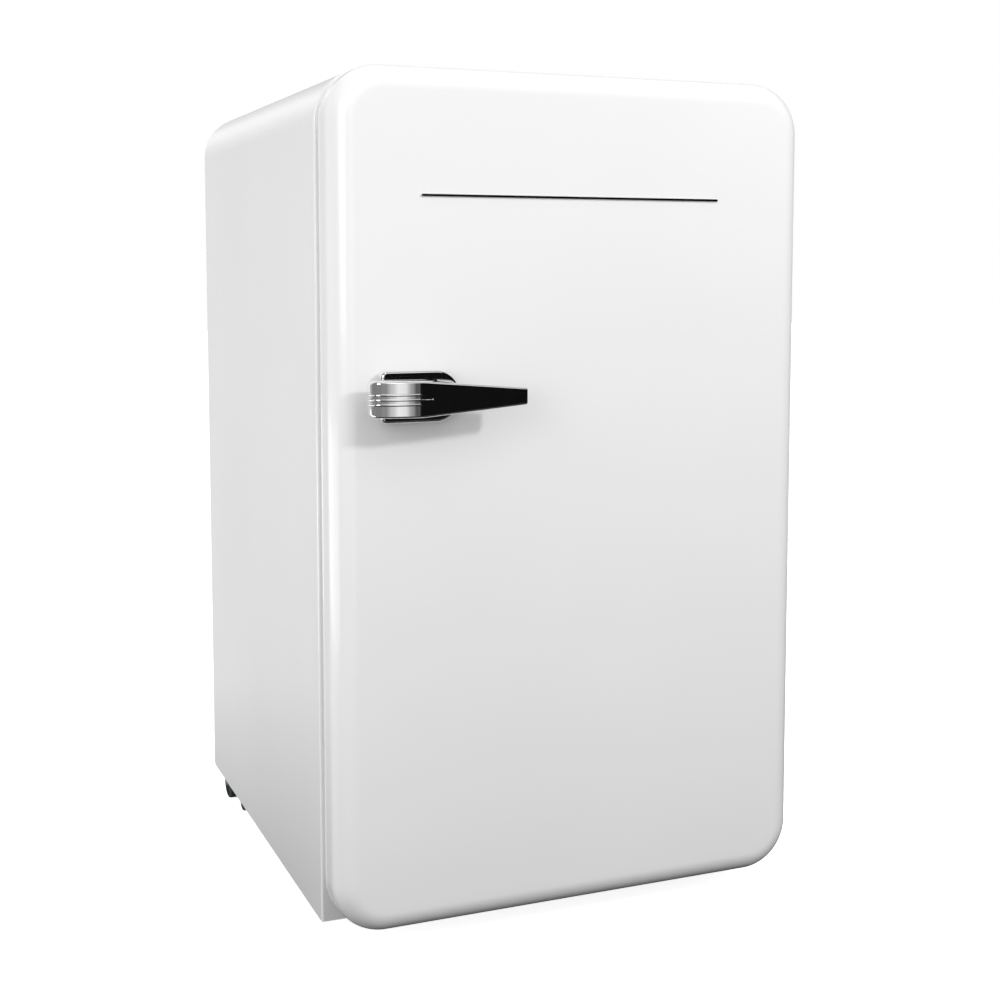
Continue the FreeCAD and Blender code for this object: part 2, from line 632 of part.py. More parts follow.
def levelling_foot(x):
    """Pad and threaded stem; the knurl round the pad gives grip for turning it."""
    pad = rod(FOOT_R, vec(x, FOOT_Y, 0), Z_AXIS, FOOT_PAD)
    pad = pad.makeFillet(1.5, edges_in_plane(pad, "Z", 0) + edges_in_plane(pad, "Z", FOOT_PAD))
    stem = rod(STEM_R, vec(x, FOOT_Y, 2), Z_AXIS, STEM_TOP - 2)
    notches = []
    for step in range(12):
        angle = math.radians(30 * step)
        centre = vec(x + FOOT_R * math.cos(angle), FOOT_Y + FOOT_R * math.sin(angle), 2.5)
        notches.append(rod(1.6, centre, Z_AXIS, FOOT_PAD))
    return pad.cut(notches).fuse(stem)


# ================================================================ door
def door_block(inset, y_face, y_back):
    """The door's outline with four rounded corners and a rounded front edge, drawn in by an inset."""
    side = HALF_W - inset
    block = soft_box(-side, side, y_face, y_back, Z_BOTTOM + inset, Z_TOP - inset, CORNER_R - inset)
    return block.makeFillet(DOOR_EDGE_R - inset, edges_in_plane(block, "Y", y_face))


def hinge_levels():
    """Underside of each hinge tongue with the direction in which its pin points."""
    low = Z_BOTTOM + HINGE_INSET
    high = Z_TOP - HINGE_INSET - TONGUE
    return [("bottom_hinge_bracket", low, 1), ("top_hinge_bracket", high, -1)]


def hinge_pockets():
    """Rear corner pockets of the door in which the hinge tongues swing, and the bush seats."""
    cuts = []
    for _, z, up in hinge_levels():
        cuts.append(box(PIVOT_X - 7.5, HALF_W + 1, PIVOT_Y - 12.5, Y_DOOR_BACK + 1, z - 2, z + TONGUE + 2))
        seat = z + TONGUE + 2 if up > 0 else z - 2 - HINGE_PIN - 1
        cuts.append(rod(BUSH_R, vec(PIVOT_X, PIVOT_Y, seat), Z_AXIS, HINGE_PIN + 1))
    return cuts


def door_outer_panel():
    """Drawn painted panel, open at the back."""
    outer = door_block(0, Y_DOOR_FACE, Y_DOOR_BACK)
    inner = door_block(SHEET, Y_DOOR_FACE + SHEET, Y_DOOR_BACK + 5)
    return outer.cut([inner] + hinge_pockets() + handle_screw_rods())


def door_insulation():
    """Foam body of the door."""
    inner = door_block(SHEET, Y_DOOR_FACE + SHEET, Y_DOOR_BACK - PLASTIC)
    return inner.cut(hinge_pockets() + handle_screw_rods() + handle_screw_heads())


def door_ribs(grow):
    """Hollow upright ribs that carry the racks, or their outside when grown."""
    ribs = []
    for x0 in (RIB_LEFT, RIB_RIGHT - RIB_WIDTH):
        reach = RIB_REACH - PLASTIC + grow
        rib = soft_box(x0 + PLASTIC - grow, x0 + RIB_WIDTH - PLASTIC + grow, Y_DOOR_BACK - PLASTIC - 3,
                       Y_DOOR_BACK + reach, RIB_BOTTOM + PLASTIC - grow, RIB_TOP - PLASTIC + grow,
                       3 + grow, X_AXIS, lambda c: c.y > Y_DOOR_BACK)
        ribs.append(rib)
    return ribs


def door_inner_liner():
    """Vacuum-formed inner face of the door with the two hollow ribs."""
    side = HALF_W - SHEET
    plate = soft_box(-side, side, Y_DOOR_BACK - PLASTIC, Y_DOOR_BACK, Z_BOTTOM + SHEET, Z_TOP - SHEET,
                     CORNER_R - SHEET)
    room = box(-HALF_W, HALF_W, Y_DOOR_BACK - 20, Y_DOOR_BACK - PLASTIC, 0, Z_TOP)
    skin = plate.fuse([rib.cut(room) for rib in door_ribs(PLASTIC)]).removeSplitter()
    buttons = []
    for z, height in RACKS.values():
        for x in (RIB_LEFT + RIB_WIDTH, RIB_RIGHT - RIB_WIDTH - 3):
            buttons.append(box(x, x + 3, Y_DOOR_BACK + 12, Y_DOOR_BACK + 34, z + 14, z + 22))
    return skin.fuse(buttons).removeSplitter().cut(door_ribs(0) + hinge_pockets())


def ring(inset, width, y0, y1):
    """A closed frame that follows the door's outline."""
    side = HALF_W - inset
    outer = soft_box(-side, side, y0, y1, Z_BOTTOM + inset, Z_TOP - inset, CORNER_R - inset)
    far = inset + width
    side = HALF_W - far
    inner = soft_box(-side, side, y0 - 1, y1 + 1, Z_BOTTOM + far, Z_TOP - far, CORNER_R - far)
    return outer.cut(inner)


def door_gasket():
    """Magnetic gasket: a foot on the door, a bellows neck and the bulb that seals on the cabinet."""
    end = Y_FRONT - GASKET_CLEAR
    foot = ring(GASKET_INSET + 2, GASKET_WIDTH - 4, Y_DOOR_BACK, Y_DOOR_BACK + 4)
    neck = ring(GASKET_INSET + 4, GASKET_WIDTH - 8, Y_DOOR_BACK + 4, Y_DOOR_BACK + 8)
    bulb = ring(GASKET_INSET, GASKET_WIDTH, Y_DOOR_BACK + 8, end)
    return foot.fuse([neck, bulb]).removeSplitter()


def hinge_bracket(z, up):
    """Plate on the cabinet's face with a tongue and a pin that reach into the door's corner pocket."""
    x0 = HALF_W - 19
    x1 = HALF_W - 2
    low, high = (z - 42, z + TONGUE) if up < 0 else (z, z + 42 + TONGUE)
    plate = box(x0, x1, Y_FRONT - 2, Y_FRONT, low, high)
    arm = box(PIVOT_X - TONGUE_HALF, PIVOT_X + TONGUE_HALF, PIVOT_Y, Y_FRONT, z, z + TONGUE)
    nose = rod(TONGUE_HALF, vec(PIVOT_X, PIVOT_Y, z), Z_AXIS, TONGUE)
    start = z + TONGUE if up > 0 else z - HINGE_PIN
    pin = rod(HINGE_PIN_R, vec(PIVOT_X, PIVOT_Y, start), Z_AXIS, HINGE_PIN)
    holes = [rod(2.0, vec(x, Y_FRONT - 3, hz), Y_AXIS, 4) for x, hz in hinge_screw_places(z, up)]
    return plate.fuse([arm, nose, pin]).removeSplitter().cut(holes)


def hinge_screw_places(z, up):
    middle = HALF_W - 10.5
    return [(middle, z + up * 16 + TONGUE / 2), (middle, z + up * 34 + TONGUE / 2)]


def hinge_screw_shanks():
    shanks = []
    for _, z, up in hinge_levels():
        for x, hz in hinge_screw_places(z, up):
            shanks.append(rod(HINGE_SCREW_R, vec(x, Y_FRONT - 2, hz), Y_AXIS, 14))
    return shanks


def hinge_screws():
    screws = []
    for _, z, up in hinge_levels():
        for x, hz in hinge_screw_places(z, up):
            shank = rod(HINGE_SCREW_R, vec(x, Y_FRONT - 2, hz), Y_AXIS, 14)
            screws.append(shank.fuse(rod(2 * HINGE_SCREW_R, vec(x, Y_FRONT - 4, hz), Y_AXIS, 2)))
    return screws


def hinge_bushes():
    """Nylon bushes in the door on the two hinge pins."""
    bushes = []
    for _, z, up in hinge_levels():
        seat = z + TONGUE + 2 if up > 0 else z - 2 - HINGE_PIN - 1
        body = rod(BUSH_R, vec(PIVOT_X, PIVOT_Y, seat), Z_AXIS, HINGE_PIN + 1)
        bushes.append(body.cut(rod(HINGE_PIN_R + RUNNING, vec(PIVOT_X, PIVOT_Y, seat - 1), Z_AXIS,
                                   HINGE_PIN + 3)))
    return bushes


def door_rack(z, height):
    """Open rack between the ribs, with a taller front and slots for the liner's buttons."""
    x0 = RIB_LEFT + RIB_WIDTH + 0.5
    x1 = RIB_RIGHT - RIB_WIDTH - 0.5
    y0 = Y_DOOR_BACK + 0.5
    y1 = Y_DOOR_BACK + RACK_REACH
    outer = soft_box(x0, x1, y0, y1, z, z + height, 14, Z_AXIS, lambda c: c.y > y1 - 1)
    inner = soft_box(x0 + RACK_WALL, x1 - RACK_WALL, y0 + RACK_WALL, y1 - RACK_WALL, z + RACK_WALL,
                     z + height + 1, 12, Z_AXIS, lambda c: c.y > y1 - 5)
    scoop = box(x0 - 1, x1 + 1, y0 - 1, y0 + 46, z + height * 0.62, z + height + 1)
    slots = []
    for x in (x0 - 1, x1 - RACK_WALL - 0.2):
        slots.append(box(x, x + RACK_WALL + 1.2, Y_DOOR_BACK + 11, Y_DOOR_BACK + 35, z - 1, z + 22.5))
    back = box(x0, x1, y0, y0 + RACK_WALL, z, z + height * 0.5)
    return outer.cut([inner, scoop] + slots).fuse(back).removeSplitter()


def bottle_rail():
    """Bent rail above the bottle rack's front."""
    z = RACKS["door_rack_bottle"][0] + RACKS["door_rack_bottle"][1] + 24
    x0 = RIB_LEFT + RIB_WIDTH
    x1 = RIB_RIGHT - RIB_WIDTH
    y0 = Y_DOOR_BACK + 36
    y1 = Y_DOOR_BACK + RACK_REACH - 3
    points = [vec(x0, y0, z), vec(x0 + 12, y0, z), vec(x0 + 12, y1, z), vec(x1 - 12, y1, z),
              vec(x1 - 12, y0, z), vec(x1, y0, z)]
    return tube(points, 2.5, 5.5)


def bar_on_door(centre, length, z, half, proud):
    """Slim bar with rounded ends that lies on the door's face."""
    bar = soft_box(centre - length / 2, centre + length / 2, Y_DOOR_FACE - proud, Y_DOOR_FACE, z - half,
                   z + half, half * 0.96)
    return bar.makeChamfer(proud * 0.4, edges_in_plane(bar, "Y", Y_DOOR_FACE - proud))


# ================================================================ handle
def handle_screw_rods():
    return [rod(HANDLE_SCREW_R, vec(x, Y_DOOR_FACE - 9, HANDLE_Z), Y_AXIS, 12) for x in HANDLE_SCREWS]


def handle_screw_heads():
    return [rod(HANDLE_HEAD_R, vec(x, Y_DOOR_FACE + SHEET, HANDLE_Z), Y_AXIS, 3.5) for x in HANDLE_SCREWS]


def handle_screws():
    screws = []
    for shank, head in zip(handle_screw_rods(), handle_screw_heads()):
        screws.append(shank.fuse(head))
    return screws


def handle_base():
    """D-shaped boss with a bevelled edge and the lug that carries the lever."""
    y0 = Y_DOOR_FACE - BASE_HEIGHT
    z0 = HANDLE_Z - BASE_HALF
    z1 = HANDLE_Z + BASE_HALF
    block = soft_box(BASE_LEFT, BASE_ARC_X, y0, Y_DOOR_FACE, z0, z1, 5.5, Y_AXIS,
                     lambda c: c.x < BASE_LEFT + 1)
    end = rod(BASE_HALF, vec(BASE_ARC_X, y0, HANDLE_Z), Y_AXIS, BASE_HEIGHT)
    boss = block.fuse(end).removeSplitter()
    boss = boss.makeChamfer(3.5, edges_in_plane(boss, "Y", y0))
    lug = rod(LUG_R, vec(LEVER_PIVOT_X, LEVER_PIVOT_Y, HANDLE_Z - LUG_HALF), Z_AXIS, 2 * LUG_HALF)
    neck = box(LEVER_PIVOT_X - LUG_R, LEVER_PIVOT_X + LUG_R, LEVER_PIVOT_Y, y0 + 2, HANDLE_Z - LUG_HALF,
               HANDLE_Z + LUG_HALF)
    bore = rod(LEVER_PIN_R + RUNNING, vec(LEVER_PIVOT_X, LEVER_PIVOT_Y, HANDLE_Z - 20), Z_AXIS, 40)
    return boss.fuse([lug, neck]).cut([bore] + handle_screw_rods())


def off_door(x, reach):
    """A point of the lever's plan, by its distance from the door's face."""
    return vec(x, Y_DOOR_FACE - reach, 0)


def lever_plan():
    """Plan outline of the lever: flat front, hub that curves round to the left, slim arm."""
    back = 15.5
    front_turn = off_door(LEVER_LEFT + 46, HANDLE_REACH)
    shoulder = off_door(LEVER_LEFT + 10, HANDLE_REACH - 6.5)
    left_top = off_door(LEVER_LEFT, HANDLE_REACH - 17)
    left_low = off_door(LEVER_LEFT, back + 3)
    back_left = off_door(LEVER_LEFT + 3, back)
    back_turn = off_door(LEVER_LEFT + 56, back)
    arm_back = off_door(LEVER_LEFT + 76, HANDLE_REACH - 10)
    tip_back = off_door(LEVER_TIP - 3, HANDLE_REACH - 7.5)
    tip_mid = off_door(LEVER_TIP, HANDLE_REACH - 4)
    tip_front = off_door(LEVER_TIP - 3, HANDLE_REACH)
    return [
        Part.LineSegment(tip_front, front_turn).toShape(),
        Part.Arc(front_turn, off_door(LEVER_LEFT + 27, HANDLE_REACH - 1.6), shoulder).toShape(),
        Part.Arc(shoulder, off_door(LEVER_LEFT + 3, HANDLE_REACH - 10.5), left_top).toShape(),
        Part.LineSegment(left_top, left_low).toShape(),
        Part.LineSegment(left_low, back_left).toShape(),
        Part.LineSegment(back_left, back_turn).toShape(),
        Part.Arc(back_turn, off_door(LEVER_LEFT + 70, back + 7.2), arm_back).toShape(),
        Part.LineSegment(arm_back, tip_back).toShape(),
        Part.Arc(tip_back, tip_mid, tip_front).toShape(),
    ]


def handle_lever():
    """Cast lever that turns on a vertical pin in its hub; its front narrows towards the tip."""
    plan = Part.Face(Part.Wire(lever_plan()))
    plan.translate(vec(0, 0, HANDLE_Z - LEVER_HALF))
    solid = plan.extrude(vec(0, 0, 2 * LEVER_HALF))
    cuts = []
    for up in (-1, 1):
        near = HANDLE_Z + up * LEVER_HALF
        tip = HANDLE_Z + up * LEVER_TIP_HALF
        far = HANDLE_Z + up * (LEVER_HALF + 5)
        points = [vec(LEVER_HUB_END, Y_HANDLE - 5, near), vec(LEVER_TIP + 5, Y_HANDLE - 5, tip),
                  vec(LEVER_TIP + 5, Y_HANDLE - 5, far), vec(LEVER_HUB_END, Y_HANDLE - 5, far)]
        cuts.append(prism(points, vec(0, 60, 0)))
    cuts.append(rod(LUG_R + 1, vec(LEVER_PIVOT_X, LEVER_PIVOT_Y, HANDLE_Z - LUG_HALF - 0.5), Z_AXIS,
                    2 * LUG_HALF + 1))
    cuts.append(box(LEVER_PIVOT_X - LUG_R - 4, LEVER_PIVOT_X + LUG_R + 1.5, LEVER_PIVOT_Y, Y_DOOR_FACE - 10,
                    HANDLE_Z - LUG_HALF - 0.5, HANDLE_Z + LUG_HALF + 0.5))
    cuts.append(rod(LEVER_PIN_R, vec(LEVER_PIVOT_X, LEVER_PIVOT_Y, HANDLE_Z - PIN_HALF), Z_AXIS,
                    2 * PIN_HALF))
    cuts.append(rod(SPRING_R + 1.4, vec(LEVER_PIVOT_X, LEVER_PIVOT_Y, HANDLE_Z + LUG_HALF), Z_AXIS, 4.0))
    return solid.cut(cuts)


def handle_pin():
    return rod(LEVER_PIN_R, vec(LEVER_PIVOT_X, LEVER_PIVOT_Y, HANDLE_Z - PIN_HALF), Z_AXIS, 2 * PIN_HALF)


def handle_spring():
    """Closely wound torsion spring round the pin that brings the lever back."""
    base = HANDLE_Z + LUG_HALF + 0.6
    turns = []
    for turn in range(SPRING_TURNS):
        place = vec(LEVER_PIVOT_X, LEVER_PIVOT_Y, base + turn * 1.9 * SPRING_WIRE)
        turns.append(Part.makeTorus(SPRING_R, SPRING_WIRE, place, Z_AXIS))
    return turns[0].fuse(turns[1:])


# ================================================================ inside the cabinet
def shelf(z):
    """Glass plate and its two plastic edge trims."""
    glass = box(-SHELF_HALF, SHELF_HALF, SHELF_FRONT + 4, SHELF_BACK - 3, z, z + GLASS)
    half = CAVITY_X - LEDGE - 2
    front = soft_box(-half, half, SHELF_FRONT, SHELF_FRONT + 14, z - 5, z + GLASS + 4, 3, X_AXIS)
    rear = soft_box(-half, half, SHELF_BACK - 12, SHELF_BACK, z - 4, z + GLASS + 8, 3, X_AXIS)
    return glass, [front.cut(glass), rear.cut(glass)]


def crisper_lid():
    """Glass cover over the drawer, on its own ledges."""
    return soft_box(-SHELF_HALF, SHELF_HALF, LID_FRONT, STEP_Y - 2, LID_Z, LID_Z + GLASS, 1.5, X_AXIS)


def crisper_drawer():
    """Clear drawer with rounded corners and a pull lip across its front."""
    back = STEP_Y - 5
    outer = soft_box(-DRAWER_HALF, DRAWER_HALF, DRAWER_FRONT, back, DRAWER_BOTTOM, DRAWER_TOP, 14, Z_AXIS)
    outer = outer.makeFillet(6.0, edges_in_plane(outer, "Z", DRAWER_BOTTOM))
    w = DRAWER_WALL
    inner = soft_box(-DRAWER_HALF + w, DRAWER_HALF - w, DRAWER_FRONT + w, back - w, DRAWER_BOTTOM + w,
                     DRAWER_TOP + 1, 11.5, Z_AXIS)
    inner = inner.makeFillet(3.5, edges_in_plane(inner, "Z", DRAWER_BOTTOM + w))
    front = DRAWER_FRONT - DRAWER_LIP
    lip = box(-80, 80, front, DRAWER_FRONT + w, DRAWER_TOP - 12, DRAWER_TOP - 9)
    hook = box(-80, 80, front, front + w, DRAWER_TOP - 24, DRAWER_TOP - 9)
    return outer.cut(inner).fuse([lip, hook]).removeSplitter()


def freezer_box():
    """Aluminium evaporator folded to a box that is open at the front."""
    outer = soft_box(-FREEZER_HALF, FREEZER_HALF, FREEZER_FRONT + FRAME_DEPTH, FREEZER_BACK, FREEZER_BOTTOM,
                     FREEZER_TOP, 8)
    t = FREEZER_SHEET
    inner = soft_box(-FREEZER_HALF + t, FREEZER_HALF - t, FREEZER_FRONT - 1, FREEZER_BACK - t,
                     FREEZER_BOTTOM + t, FREEZER_TOP - t, 8 - t)
    return outer.cut(inner)


def freezer_frame():
    """Plastic front frame of the freezer box, hung from the liner's ceiling."""
    y0 = FREEZER_FRONT + 4.5
    y1 = FREEZER_FRONT + FRAME_DEPTH
    outer = soft_box(-FRAME_HALF, FRAME_HALF, y0, y1, FREEZER_BOTTOM - 8, FREEZER_TOP + 10, 6)
    side = FREEZER_HALF - FREEZER_SHEET - 8
    window = box(-side, side, y0 - 1, y1 + 1, FREEZER_BOTTOM + 10, FREEZER_TOP - 12)
    posts = both_sides(box(138, 162, y0, y1, FREEZER_TOP + 9, CAVITY_TOP))
    ears = both_sides(box(FLAP_HALF + 0.5, FLAP_HALF + 5, FREEZER_FRONT - 3, y0 + 1, FLAP_PIVOT_Z - 6,
                          FLAP_PIVOT_Z + 6))
    bore = rod(FLAP_PIN_R + RUNNING, vec(-FRAME_HALF, FREEZER_FRONT, FLAP_PIVOT_Z), X_AXIS, 2 * FRAME_HALF)
    return outer.fuse(list(posts + ears)).removeSplitter().cut([window, bore])


def freezer_flap():
    """Moulded flap with pivot pins at its top corners and a finger lip along the bottom."""
    y0 = FREEZER_FRONT - 3.0
    y1 = y0 + FLAP_SHEET
    plate = soft_box(-FLAP_HALF, FLAP_HALF, y0, y1, FLAP_BOTTOM, FLAP_PIVOT_Z + 2.5, 8)
    roll = rod(3.5, vec(-FLAP_HALF, FREEZER_FRONT, FLAP_PIVOT_Z), X_AXIS, 2 * FLAP_HALF)
    lip = box(-60, 60, y0 - 9, y0 + 1, FLAP_BOTTOM + 10, FLAP_BOTTOM + 13)
    ribs = [box(-FLAP_HALF + 20, FLAP_HALF - 20, y0 - 1.2, y0 + 0.5, z, z + 5) for z in (690.0, 725.0)]
    pins = rod(FLAP_PIN_R, vec(-FLAP_HALF - 4, FREEZER_FRONT, FLAP_PIVOT_Z), X_AXIS, 2 * FLAP_HALF + 8)
    return plate.fuse([roll, lip, pins] + ribs).removeSplitter()


def drip_tray():
    """Shallow tray that hangs under the freezer box on two side rails."""
    y0 = FREEZER_FRONT + 2
    y1 = FREEZER_BACK - 10
    outer = soft_box(-TRAY_HALF, TRAY_HALF, y0, y1, TRAY_Z0, TRAY_Z1, 12, Z_AXIS)
    w = PLASTIC
    inner = soft_box(-TRAY_HALF + w, TRAY_HALF - w, y0 + w, y1 - w, TRAY_Z0 + w, TRAY_Z1 + 1, 12 - w, Z_AXIS)
    lips = both_sides(box(TRAY_HALF - w, TRAY_HALF + 8, y0 + 8, y1 - 10, TRAY_Z1 - 2, TRAY_Z1))
    grip = box(-50, 50, y0 - 8, y0 + w, TRAY_Z1 - 3, TRAY_Z1)
    return outer.cut(inner).fuse(list(lips) + [grip]).removeSplitter()


def drip_tray_rails():
    """Two folded rails under the freezer box that the tray's lips run in."""
    y0 = FREEZER_FRONT + FRAME_DEPTH + 1
    y1 = FREEZER_BACK - 10
    outer = FREEZER_HALF + 2
    upright = box(FREEZER_HALF + 0.5, outer, y0, y1, TRAY_Z1 - 4, FREEZER_BOTTOM + 7)
    foot = box(FREEZER_HALF - 7, outer, y0, y1, TRAY_Z1 - 5.5, TRAY_Z1 - 2.5)
    return both_sides(upright.fuse(foot))


def thermostat_housing():
    """Control housing on the right-hand wall."""
    x0, x1, y0, y1, z0, z1 = HOUSING
    block = soft_box(x0, x1, y0, y1, z0, z1, 10, X_AXIS)
    block = block.makeFillet(4.0, edges_in_plane(block, "X", x0))
    middle_y = (y0 + y1) / 2
    middle_z = (z0 + z1) / 2
    seat = rod(DIAL_R + 1, vec(x0 - 1, middle_y, middle_z), X_AXIS, 3)
    bore = rod(3.0 + RUNNING, vec(x0 - 1, middle_y, middle_z), X_AXIS, 22)
    vents = [box(x0 - 1, x0 + 3, y0 + 8 + 5 * k, y0 + 10 + 5 * k, z0 + 8, z0 + 10) for k in range(13)]
    return block.cut([seat, bore] + vents)


def thermostat_dial():
    """Knob with grip flutes and a pointer ridge, on a short shaft."""
    x0, _, y0, y1, z0, z1 = HOUSING
    centre = vec(x0 - DIAL_DEPTH + 1.5, (y0 + y1) / 2, (z0 + z1) / 2)
    knob = rod(DIAL_R, centre, X_AXIS, DIAL_DEPTH)
    knob = knob.makeFillet(2.0, edges_in_plane(knob, "X", centre.x))
    flutes = []
    for step in range(18):
        angle = math.radians(20 * step)
        place = centre + vec(-1, (DIAL_R + 0.6) * math.cos(angle), (DIAL_R + 0.6) * math.sin(angle))
        flutes.append(rod(1.6, place, X_AXIS, DIAL_DEPTH - 1))
    top = centre.z + DIAL_R - 3
    pointer = box(centre.x - 2.5, centre.x + 1, centre.y - 1.5, centre.y + 1.5, centre.z, top)
    shaft = rod(3.0, centre, X_AXIS, DIAL_DEPTH + 18)
    return knob.cut(flutes).fuse([pointer, shaft])


# ================================================================ files
def write_cabinet():
    save("cabinet_shell", cabinet_shell())
    save("front_bottom_rail", front_bottom_rail())
    save("inner_liner", inner_liner())
    save("cabinet_insulation", cabinet_insulation())
    save("floor_pan", floor_pan())
    save("back_panel", back_panel())
    save("back_panel_screws", *[pan_screw(x, z) for x, z in screw_places()])
    save("skin_condenser", *both_sides(skin_condenser()))
    for name, z, up in hinge_levels():
        save(name, hinge_bracket(z, up))
    save("hinge_screws", *hinge_screws())


def write_cooling():
    save("compressor_bay_liner", compressor_bay_liner())
    save("compressor_base_plate", compressor_base_plate())
    save("compressor", compressor())
    save("compressor_grommets", *[grommet(x, y) for x, y in compressor_feet()])
    save("compressor_bolts", *[mount_bolt(x, y) for x, y in compressor_feet()])
    save("relay_cover", relay_cover())
    save("evaporation_tray", evaporation_tray())
    save("filter_drier", filter_drier())
    save("refrigerant_tubes", *refrigerant_tubes())
    save("drain_tube", drain_tube())
    save("cord_grommet", cord_grommet())


def write_running_gear():
    for word, side in (("left", -1), ("right", 1)):
        save("rear_wheel_" + word, wheel(REAR_WHEEL, side))
        save("guide_wheel_" + word, wheel(GUIDE_WHEEL, side))
        save("levelling_foot_" + word, levelling_foot(side * FOOT_X))
    save("wheel_brackets", *both_sides(roller_bracket()))
    save("wheel_axles", *(both_sides(axle(REAR_WHEEL)) + both_sides(axle(GUIDE_WHEEL))))
    save("foot_nuts", foot_nut(-FOOT_X), foot_nut(FOOT_X))


def write_door():
    save("door_outer_panel", door_outer_panel())
    save("door_insulation", door_insulation())
    save("door_inner_liner", door_inner_liner())
    save("door_gasket", door_gasket())
    save("hinge_bushes", *hinge_bushes())
    for name, (z, height) in RACKS.items():
        save(name, door_rack(z, height))
    save("bottle_rail", bottle_rail())
    save("trim_strip", bar_on_door(TRIM_CENTRE, TRIM_LENGTH, TRIM_Z, TRIM_HALF, TRIM_PROUD))


def write_handle():
    save("handle_base", handle_base())
    save("handle_screws", *handle_screws())
    save("handle_lever", handle_lever())
    save("handle_pin", handle_pin())
    save("handle_spring", handle_spring())


def write_inside():
    for name, z in SHELVES.items():
        glass, trims = shelf(z)
        save(name + "_glass", glass)
        save(name + "_trim", *trims)
    save("crisper_lid", crisper_lid())
    save("crisper_drawer", crisper_drawer())
    save("freezer_box", freezer_box())
    save("freezer_frame", freezer_frame())
    save("freezer_flap", freezer_flap())
    save("drip_tray", drip_tray())
    save("drip_tray_rails", *drip_tray_rails())
    save("thermostat_housing", thermostat_housing())
    save("thermostat_dial", thermostat_dial())


os.makedirs("parts", exist_ok=True)
write_cabinet()
write_cooling()
write_running_gear()
write_door()
write_handle()
write_inside()
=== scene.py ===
"""Looks of the compact refrigerator: smooth outer skins, handle, materials, light and camera."""
import json
import math

import bmesh
import bpy
from mathutils import Euler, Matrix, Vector

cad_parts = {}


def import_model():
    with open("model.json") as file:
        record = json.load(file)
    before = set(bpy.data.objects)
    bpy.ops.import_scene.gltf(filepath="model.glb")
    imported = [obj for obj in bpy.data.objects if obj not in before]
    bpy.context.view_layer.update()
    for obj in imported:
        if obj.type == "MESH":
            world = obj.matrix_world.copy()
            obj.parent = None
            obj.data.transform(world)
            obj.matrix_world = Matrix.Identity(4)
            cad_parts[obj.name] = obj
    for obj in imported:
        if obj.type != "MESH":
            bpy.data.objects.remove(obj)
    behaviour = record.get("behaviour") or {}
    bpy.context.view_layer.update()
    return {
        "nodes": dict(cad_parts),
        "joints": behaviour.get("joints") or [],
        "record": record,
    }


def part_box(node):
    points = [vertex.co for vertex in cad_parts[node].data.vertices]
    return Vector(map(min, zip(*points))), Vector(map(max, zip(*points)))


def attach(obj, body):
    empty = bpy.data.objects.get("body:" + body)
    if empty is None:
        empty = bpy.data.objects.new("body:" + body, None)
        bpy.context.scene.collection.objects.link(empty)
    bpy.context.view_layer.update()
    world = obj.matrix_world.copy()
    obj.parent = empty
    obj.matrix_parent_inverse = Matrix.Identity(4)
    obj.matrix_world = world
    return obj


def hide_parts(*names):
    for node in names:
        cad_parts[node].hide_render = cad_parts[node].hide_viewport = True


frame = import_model()
MM = 0.001

# ---------------------------------------------------------------- places, all read from the frame
SHELL_LOW, SHELL_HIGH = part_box("cabinet_shell")
DOOR_LOW, DOOR_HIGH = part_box("door_outer_panel")
LEVER_LOW, LEVER_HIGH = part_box("handle_lever")
BASE_LOW, BASE_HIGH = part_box("handle_base")
STRIP_LOW, STRIP_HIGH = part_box("trim_strip")
JOINTS = {joint["name"]: joint for joint in frame["joints"]}
HINGE_AT = Vector(JOINTS["door_hinge"]["pos_m"])
LEVER_AT = Vector(JOINTS["handle_pull"]["pos_m"])

CORNER_R = 50 * MM      # rounded corners of the cabinet's top and of the door
DOOR_EDGE_R = 22 * MM   # rounding from the door's face to its side
SHEET = 1 * MM          # thickness of the outer sheets
SHARP_DEG = 50          # edges that turn by more than this stay sharp


# ================================================================ mesh helpers
def link(name, vertices, faces):
    """A new mesh object with smooth faces."""
    mesh = bpy.data.meshes.new(name)
    mesh.from_pydata([tuple(v) for v in vertices], [], faces)
    mesh.polygons.foreach_set("use_smooth", [True] * len(mesh.polygons))
    mesh.update()
    thing = bpy.data.objects.new(name, mesh)
    bpy.context.scene.collection.objects.link(thing)
    tidy = bmesh.new()
    tidy.from_mesh(mesh)
    bmesh.ops.recalc_face_normals(tidy, faces=tidy.faces)
    tidy.to_mesh(mesh)
    tidy.free()
    return thing


def apply_modifiers(thing):
    """Turns the modified shape into the object's own mesh."""
    graph = bpy.context.evaluated_depsgraph_get()
    done = bpy.data.meshes.new_from_object(thing.evaluated_get(graph))
    thing.modifiers.clear()
    thing.data = done


def crisp(thing):
    """Normals weighted by face area, so that flats stay flat beside their rounded edges."""
    thing.data.set_sharp_from_angle(angle=math.radians(SHARP_DEG))
    weighted = thing.modifiers.new("crisp", "WEIGHTED_NORMAL")
    weighted.keep_sharp = True
    weighted.weight = 60
    return thing


def arc(start, end, steps):
    """Angles from start to end in degrees, both included, as radians."""
    return [math.radians(start + (end - start) * k / steps) for k in range(steps + 1)]


def rounded_outline(x0, x1, z0, z1, radius, steps=20):
    """Closed outline in the XZ plane as (x, z, outward x, outward z)."""
    points = []
    corners = [(x1, z0, -90), (x1, z1, 0), (x0, z1, 90), (x0, z0, 180)]
    for x, z, start in corners:
        cx = x - radius if x == x1 else x + radius
        cz = z - radius if z == z1 else z + radius
        for angle in arc(start, start + 90, steps):
            nx, nz = math.cos(angle), math.sin(angle)
            points.append((cx + radius * nx, cz + radius * nz, nx, nz))
    return points


